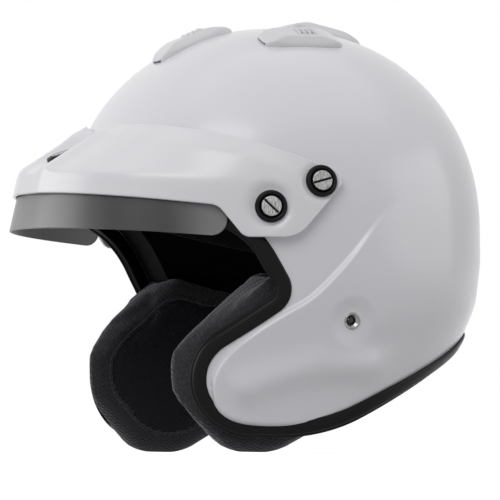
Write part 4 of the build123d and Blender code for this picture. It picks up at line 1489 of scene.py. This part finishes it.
def seamed(piece):
    """Sews a face of smoother knit inside a piped seam that follows the pad's outline."""
    mesh = piece.data
    points = (np.array([vertex.co for vertex in mesh.vertices]) - np.array(CENTRE)) / MM
    normals = np.array([vertex.normal for vertex in mesh.vertices])
    flat = side_view(points)
    middle = (flat.min(axis=0) + flat.max(axis=0)) / 2
    turns = np.arctan2(*(flat - middle).T[::-1])
    reach = np.linalg.norm(flat - middle, axis=1)
    outline = np.zeros(SEAM_TURNS)
    np.maximum.at(outline, ((turns + pi) / (2 * pi) * SEAM_TURNS).astype(int) % SEAM_TURNS, reach)
    for _ in range(SEAM_EASE):
        outline = (np.roll(outline, 1) + 2 * outline + np.roll(outline, -1)) / 4
    places = (np.arange(SEAM_TURNS) + 0.5) / SEAM_TURNS * 2 * pi - pi
    inset = np.interp(turns, places, outline, period=2 * pi) - reach - SEAM_INSET
    facing = smooth_step(-normals[:, 0], 0.1, 0.5)
    groove = np.exp(-(inset / SEAM_HALF)**2) * facing
    points -= normals * (groove * SEAM_GROOVE)[:, None]
    mesh.vertices.foreach_set("co", placed(points).ravel())
    mesh.materials.append(FACE_KNIT)
    inner = (inset > 0) & (facing > 0)
    corners = np.array([[*polygon.vertices][:3] for polygon in mesh.polygons])
    mesh.polygons.foreach_set("material_index", inner[corners].all(axis=1).astype(int))
    mesh.update()
    tree = BVHTree.FromPolygons([Vector(point) for point in points], [[*p.vertices] for p in mesh.polygons])
    path = []
    for turn, far in zip(places, outline - SEAM_INSET):
        start = Vector((0, -middle[0] - far * cos(turn), middle[1] + far * sin(turn)))
        path.append(tree.ray_cast(start, Vector((1, 0, 0)))[0])
    path = np.array(path)
    around = np.linspace(0, 2 * pi, 10, endpoint=False)
    ring = np.stack([np.cos(around), np.sin(around)], axis=-1) * PIPING
    rings = sweep_round(path, np.tile((-1.0, 0.0, 0.0), (len(path), 1)), ring)
    return outward(new_piece("cheek_piping_left", rings, tube_faces(*rings.shape[:2], True), PAD_KNIT))


def cheek_pads():
    left = remeshed("cheek_pad_left", "cheek_cushion_left")
    normals = np.array([vertex.normal for vertex in left.data.vertices])
    points = np.array([vertex.co for vertex in left.data.vertices]) - normals * SHRINK * MM
    left.data.vertices.foreach_set("co", points.ravel())
    left.data.update()
    simulated(left)
    smooth = left.modifiers.new("round", "SUBSURF")
    smooth.levels = smooth.render_levels = 1
    mesh = bpy.data.meshes.new_from_object(left.evaluated_get(bpy.context.evaluated_depsgraph_get()))
    left.modifiers.clear()
    left.data = mesh
    piping = seamed(left)
    right = in_scene("cheek_cushion_right", left.data.copy())
    other = in_scene("cheek_piping_right", piping.data.copy())
    for piece in (right, other):
        piece.data.transform(Matrix.Scale(-1, 4, (1, 0, 0)))
        piece.data.flip_normals()
    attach(other, "helmet")
    for piece, side in ((left, "left"), (right, "right")):
        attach(piece, "helmet")
        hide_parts(f"cheek_pad_{side}")


cheek_pads()


# Chin strap

STRAP_SIDE = -8.0
STRAP_WIDTH = 22.0
STRAP_THICK = 1.8
STRAP_INNER = 54.5
STRAP_RUN_LEVEL = -77.6
STRAP_TOP = (110.4, -61.5)
STRAP_TURN = (109.6, -74.5)
RING_LEVEL = -90.75
RING_HALF_GAP = 2.8
RING_WIRE = 1.75
LONG_LOW = -107.7
FOLD_TOP = -84.0
FOLD_HALF = 2.9


def ribbon(path, closed=False):
    """Flat webbing with rounded edges along a path of (lateral, height)."""
    path = np.asarray(path, float)
    if closed:
        run = np.roll(path, -1, axis=0) - np.roll(path, 1, axis=0)
    else:
        run = np.gradient(path, axis=0)
    run /= np.linalg.norm(run, axis=1, keepdims=True)
    normal = np.stack([-run[:, 1], run[:, 0]], axis=1)
    turns = np.linspace(0, 2 * pi, 28, endpoint=False)
    across = signed_power(np.cos(turns), 0.25) * STRAP_WIDTH / 2
    thick = signed_power(np.sin(turns), 0.7) * STRAP_THICK / 2
    sides = np.stack([path[:, None, 0] + normal[:, None, 0] * thick[None],
                      STRAP_SIDE + across[None] + path[:, None, 0] * 0,
                      path[:, None, 1] + normal[:, None, 1] * thick[None]], axis=-1)
    return sides, tube_faces(*sides.shape[:2], closed)


def strap_path(*ends):
    points = (STRAP_TOP, STRAP_TURN, (107.0, STRAP_RUN_LEVEL), (90.0, STRAP_RUN_LEVEL),
              (72.0, STRAP_RUN_LEVEL), (58.5, STRAP_RUN_LEVEL), (STRAP_INNER, STRAP_RUN_LEVEL - 3.5), *ends)
    return curve_through(points, 10)


def chin_strap():
    turns = np.linspace(-pi / 2, pi / 2, 12)
    radius = RING_WIRE + FIT + STRAP_THICK / 2
    middle = np.array((STRAP_INNER, RING_LEVEL))
    half = np.stack([RING_HALF_GAP + radius * np.cos(turns), radius * np.sin(turns)], axis=1)
    short = [ribbon(strap_path((STRAP_INNER, RING_LEVEL + radius + 0.4))),
             ribbon(np.concatenate([middle + half, middle - half]), closed=True)]
    left = joined_piece("strap_short", short, WEBBING)
    fold = np.linspace(0, pi, 14)
    bend = np.stack([STRAP_INNER - FOLD_HALF + FOLD_HALF * np.cos(fold),
                     LONG_LOW - FOLD_HALF * np.sin(fold)], axis=1)
    heights = np.linspace(LONG_LOW + 2, FOLD_TOP, 8)
    end = np.stack([np.full(8, STRAP_INNER - 2 * FOLD_HALF), heights], axis=1)
    down = strap_path((STRAP_INNER, -88.0), (STRAP_INNER, -98.0), (STRAP_INNER, LONG_LOW + 1.5))
    points, faces = ribbon(np.concatenate([down, bend, end]))
    points = points * np.array((-1.0, 1.0, 1.0))
    right = joined_piece("strap_long", [(points, faces)], WEBBING)
    for piece, side in ((left, "left"), (right, "right")):
        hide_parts(f"chin_strap_{side}")


chin_strap()


# Camera, floor and light

CAMERA_AZIMUTH = radians(67.5)
CAMERA_RISE = radians(-1.83)
CAMERA_DISTANCE = 3930.0
PHOTO_SCALE = 0.63
PHOTO_HALF = 250.0
CENTRE_PIXEL = (272.0, 233.0)
SENSOR = 36.0


def camera():
    back = Vector((sin(CAMERA_AZIMUTH) * cos(CAMERA_RISE), -cos(CAMERA_AZIMUTH) * cos(CAMERA_RISE),
                   sin(CAMERA_RISE)))
    right = Vector((cos(CAMERA_AZIMUTH), sin(CAMERA_AZIMUTH), 0))
    up = back.cross(right)
    target = right * (PHOTO_HALF - CENTRE_PIXEL[0]) + up * (CENTRE_PIXEL[1] - PHOTO_HALF)
    data = bpy.data.cameras.new("photo_camera")
    data.sensor_width = SENSOR
    data.lens = SENSOR / 2 * CAMERA_DISTANCE / (PHOTO_HALF * PHOTO_SCALE)
    data.clip_end = 50
    eye = in_scene("photo_camera", data)
    eye.matrix_world = Matrix.Translation(
        CENTRE + (target * PHOTO_SCALE + back * CAMERA_DISTANCE) * MM) @ Matrix(
        (right, up, back)).transposed().to_4x4()
    bpy.context.scene.camera = eye


def seen_directly(tree):
    """1 for what the eye, a reflection or a clear sheet shows, 0 for light on the object."""
    seen = 0.0
    for name in ("Is Camera Ray", "Is Glossy Ray", "Is Transmission Ray"):
        seen = worked(tree, "MAXIMUM", seen, add(tree, "LightPath", name, {}))
    return seen


WORLD_LIGHT = 0.22
FLOOR_GLOW = (0.6, 0.9)
FLOOR_FADE = (0.3, 1.6)


def world():
    """White to the eye and in reflections, softer as a light."""
    scene_world = bpy.data.worlds.new("studio")
    bpy.context.scene.world = scene_world
    scene_world.use_nodes = True
    tree = scene_world.node_tree
    strength = add(tree, "MapRange", "Result", {
        "Value": seen_directly(tree),
        "To Min": WORLD_LIGHT,
        "To Max": 1.0,
    })
    fill(tree, tree.nodes["Background"], {"Color": (1, 1, 1, 1), "Strength": strength})


LAMPS = (
    ("front", (-1.6, -2.7, 0.9), (0, 0, 0.15), (2.6, 1.8), 32),
    ("key", (1.6, -1.6, 1.9), (0, 0, 0.15), (1.8, 1.8), 32),
    ("top", (0.3, 0.1, 2.4), (0, 0, 0.15), (3.0, 3.0), 17),
    ("rear", (1.4, 2.9, 0.9), (0, 0, 0.15), (2.6, 1.8), 22),
)


def softbox(name, place, aim, size, watts):
    data = bpy.data.lights.new(name, "AREA")
    data.shape = "RECTANGLE"
    data.size, data.size_y = size
    data.energy = watts
    lamp = in_scene(name, data)
    lamp.location = place
    lamp.rotation_mode = "QUATERNION"
    lamp.rotation_quaternion = (Vector(aim) - Vector(place)).to_track_quat("-Z", "Y")


def floor():
    material, tree = new_material("floor_pale")
    far = add(tree, "VectorMath", "Value", {0: add(tree, "TexCoord", "Object", {})}, operation="LENGTH")
    glow = risen(tree, far, FLOOR_FADE, FLOOR_GLOW)
    shade(tree, {
        "Base Color": mixed(tree, noise_of(tree, 3.0), (0.54, 0.54, 0.54), (0.56, 0.56, 0.56)),
        "Roughness": 0.9,
        "Specular IOR Level": 0.1,
        "Emission Color": (1, 1, 1, 1),
        "Emission Strength": worked(tree, "MULTIPLY", seen_directly(tree), glow),
    })
    mesh = bpy.data.meshes.new("floor")
    reach = 12.0
    mesh.from_pydata([(-reach, -reach, 0), (reach, -reach, 0), (reach, reach, 0), (-reach, reach, 0)], [],
                     [(0, 1, 2, 3)])
    plane = in_scene("floor", mesh)
    mesh.materials.append(material)


camera()
world()
floor()
for lamp in LAMPS:
    softbox(*lamp)
bpy.context.scene.view_settings.view_transform = "Standard"
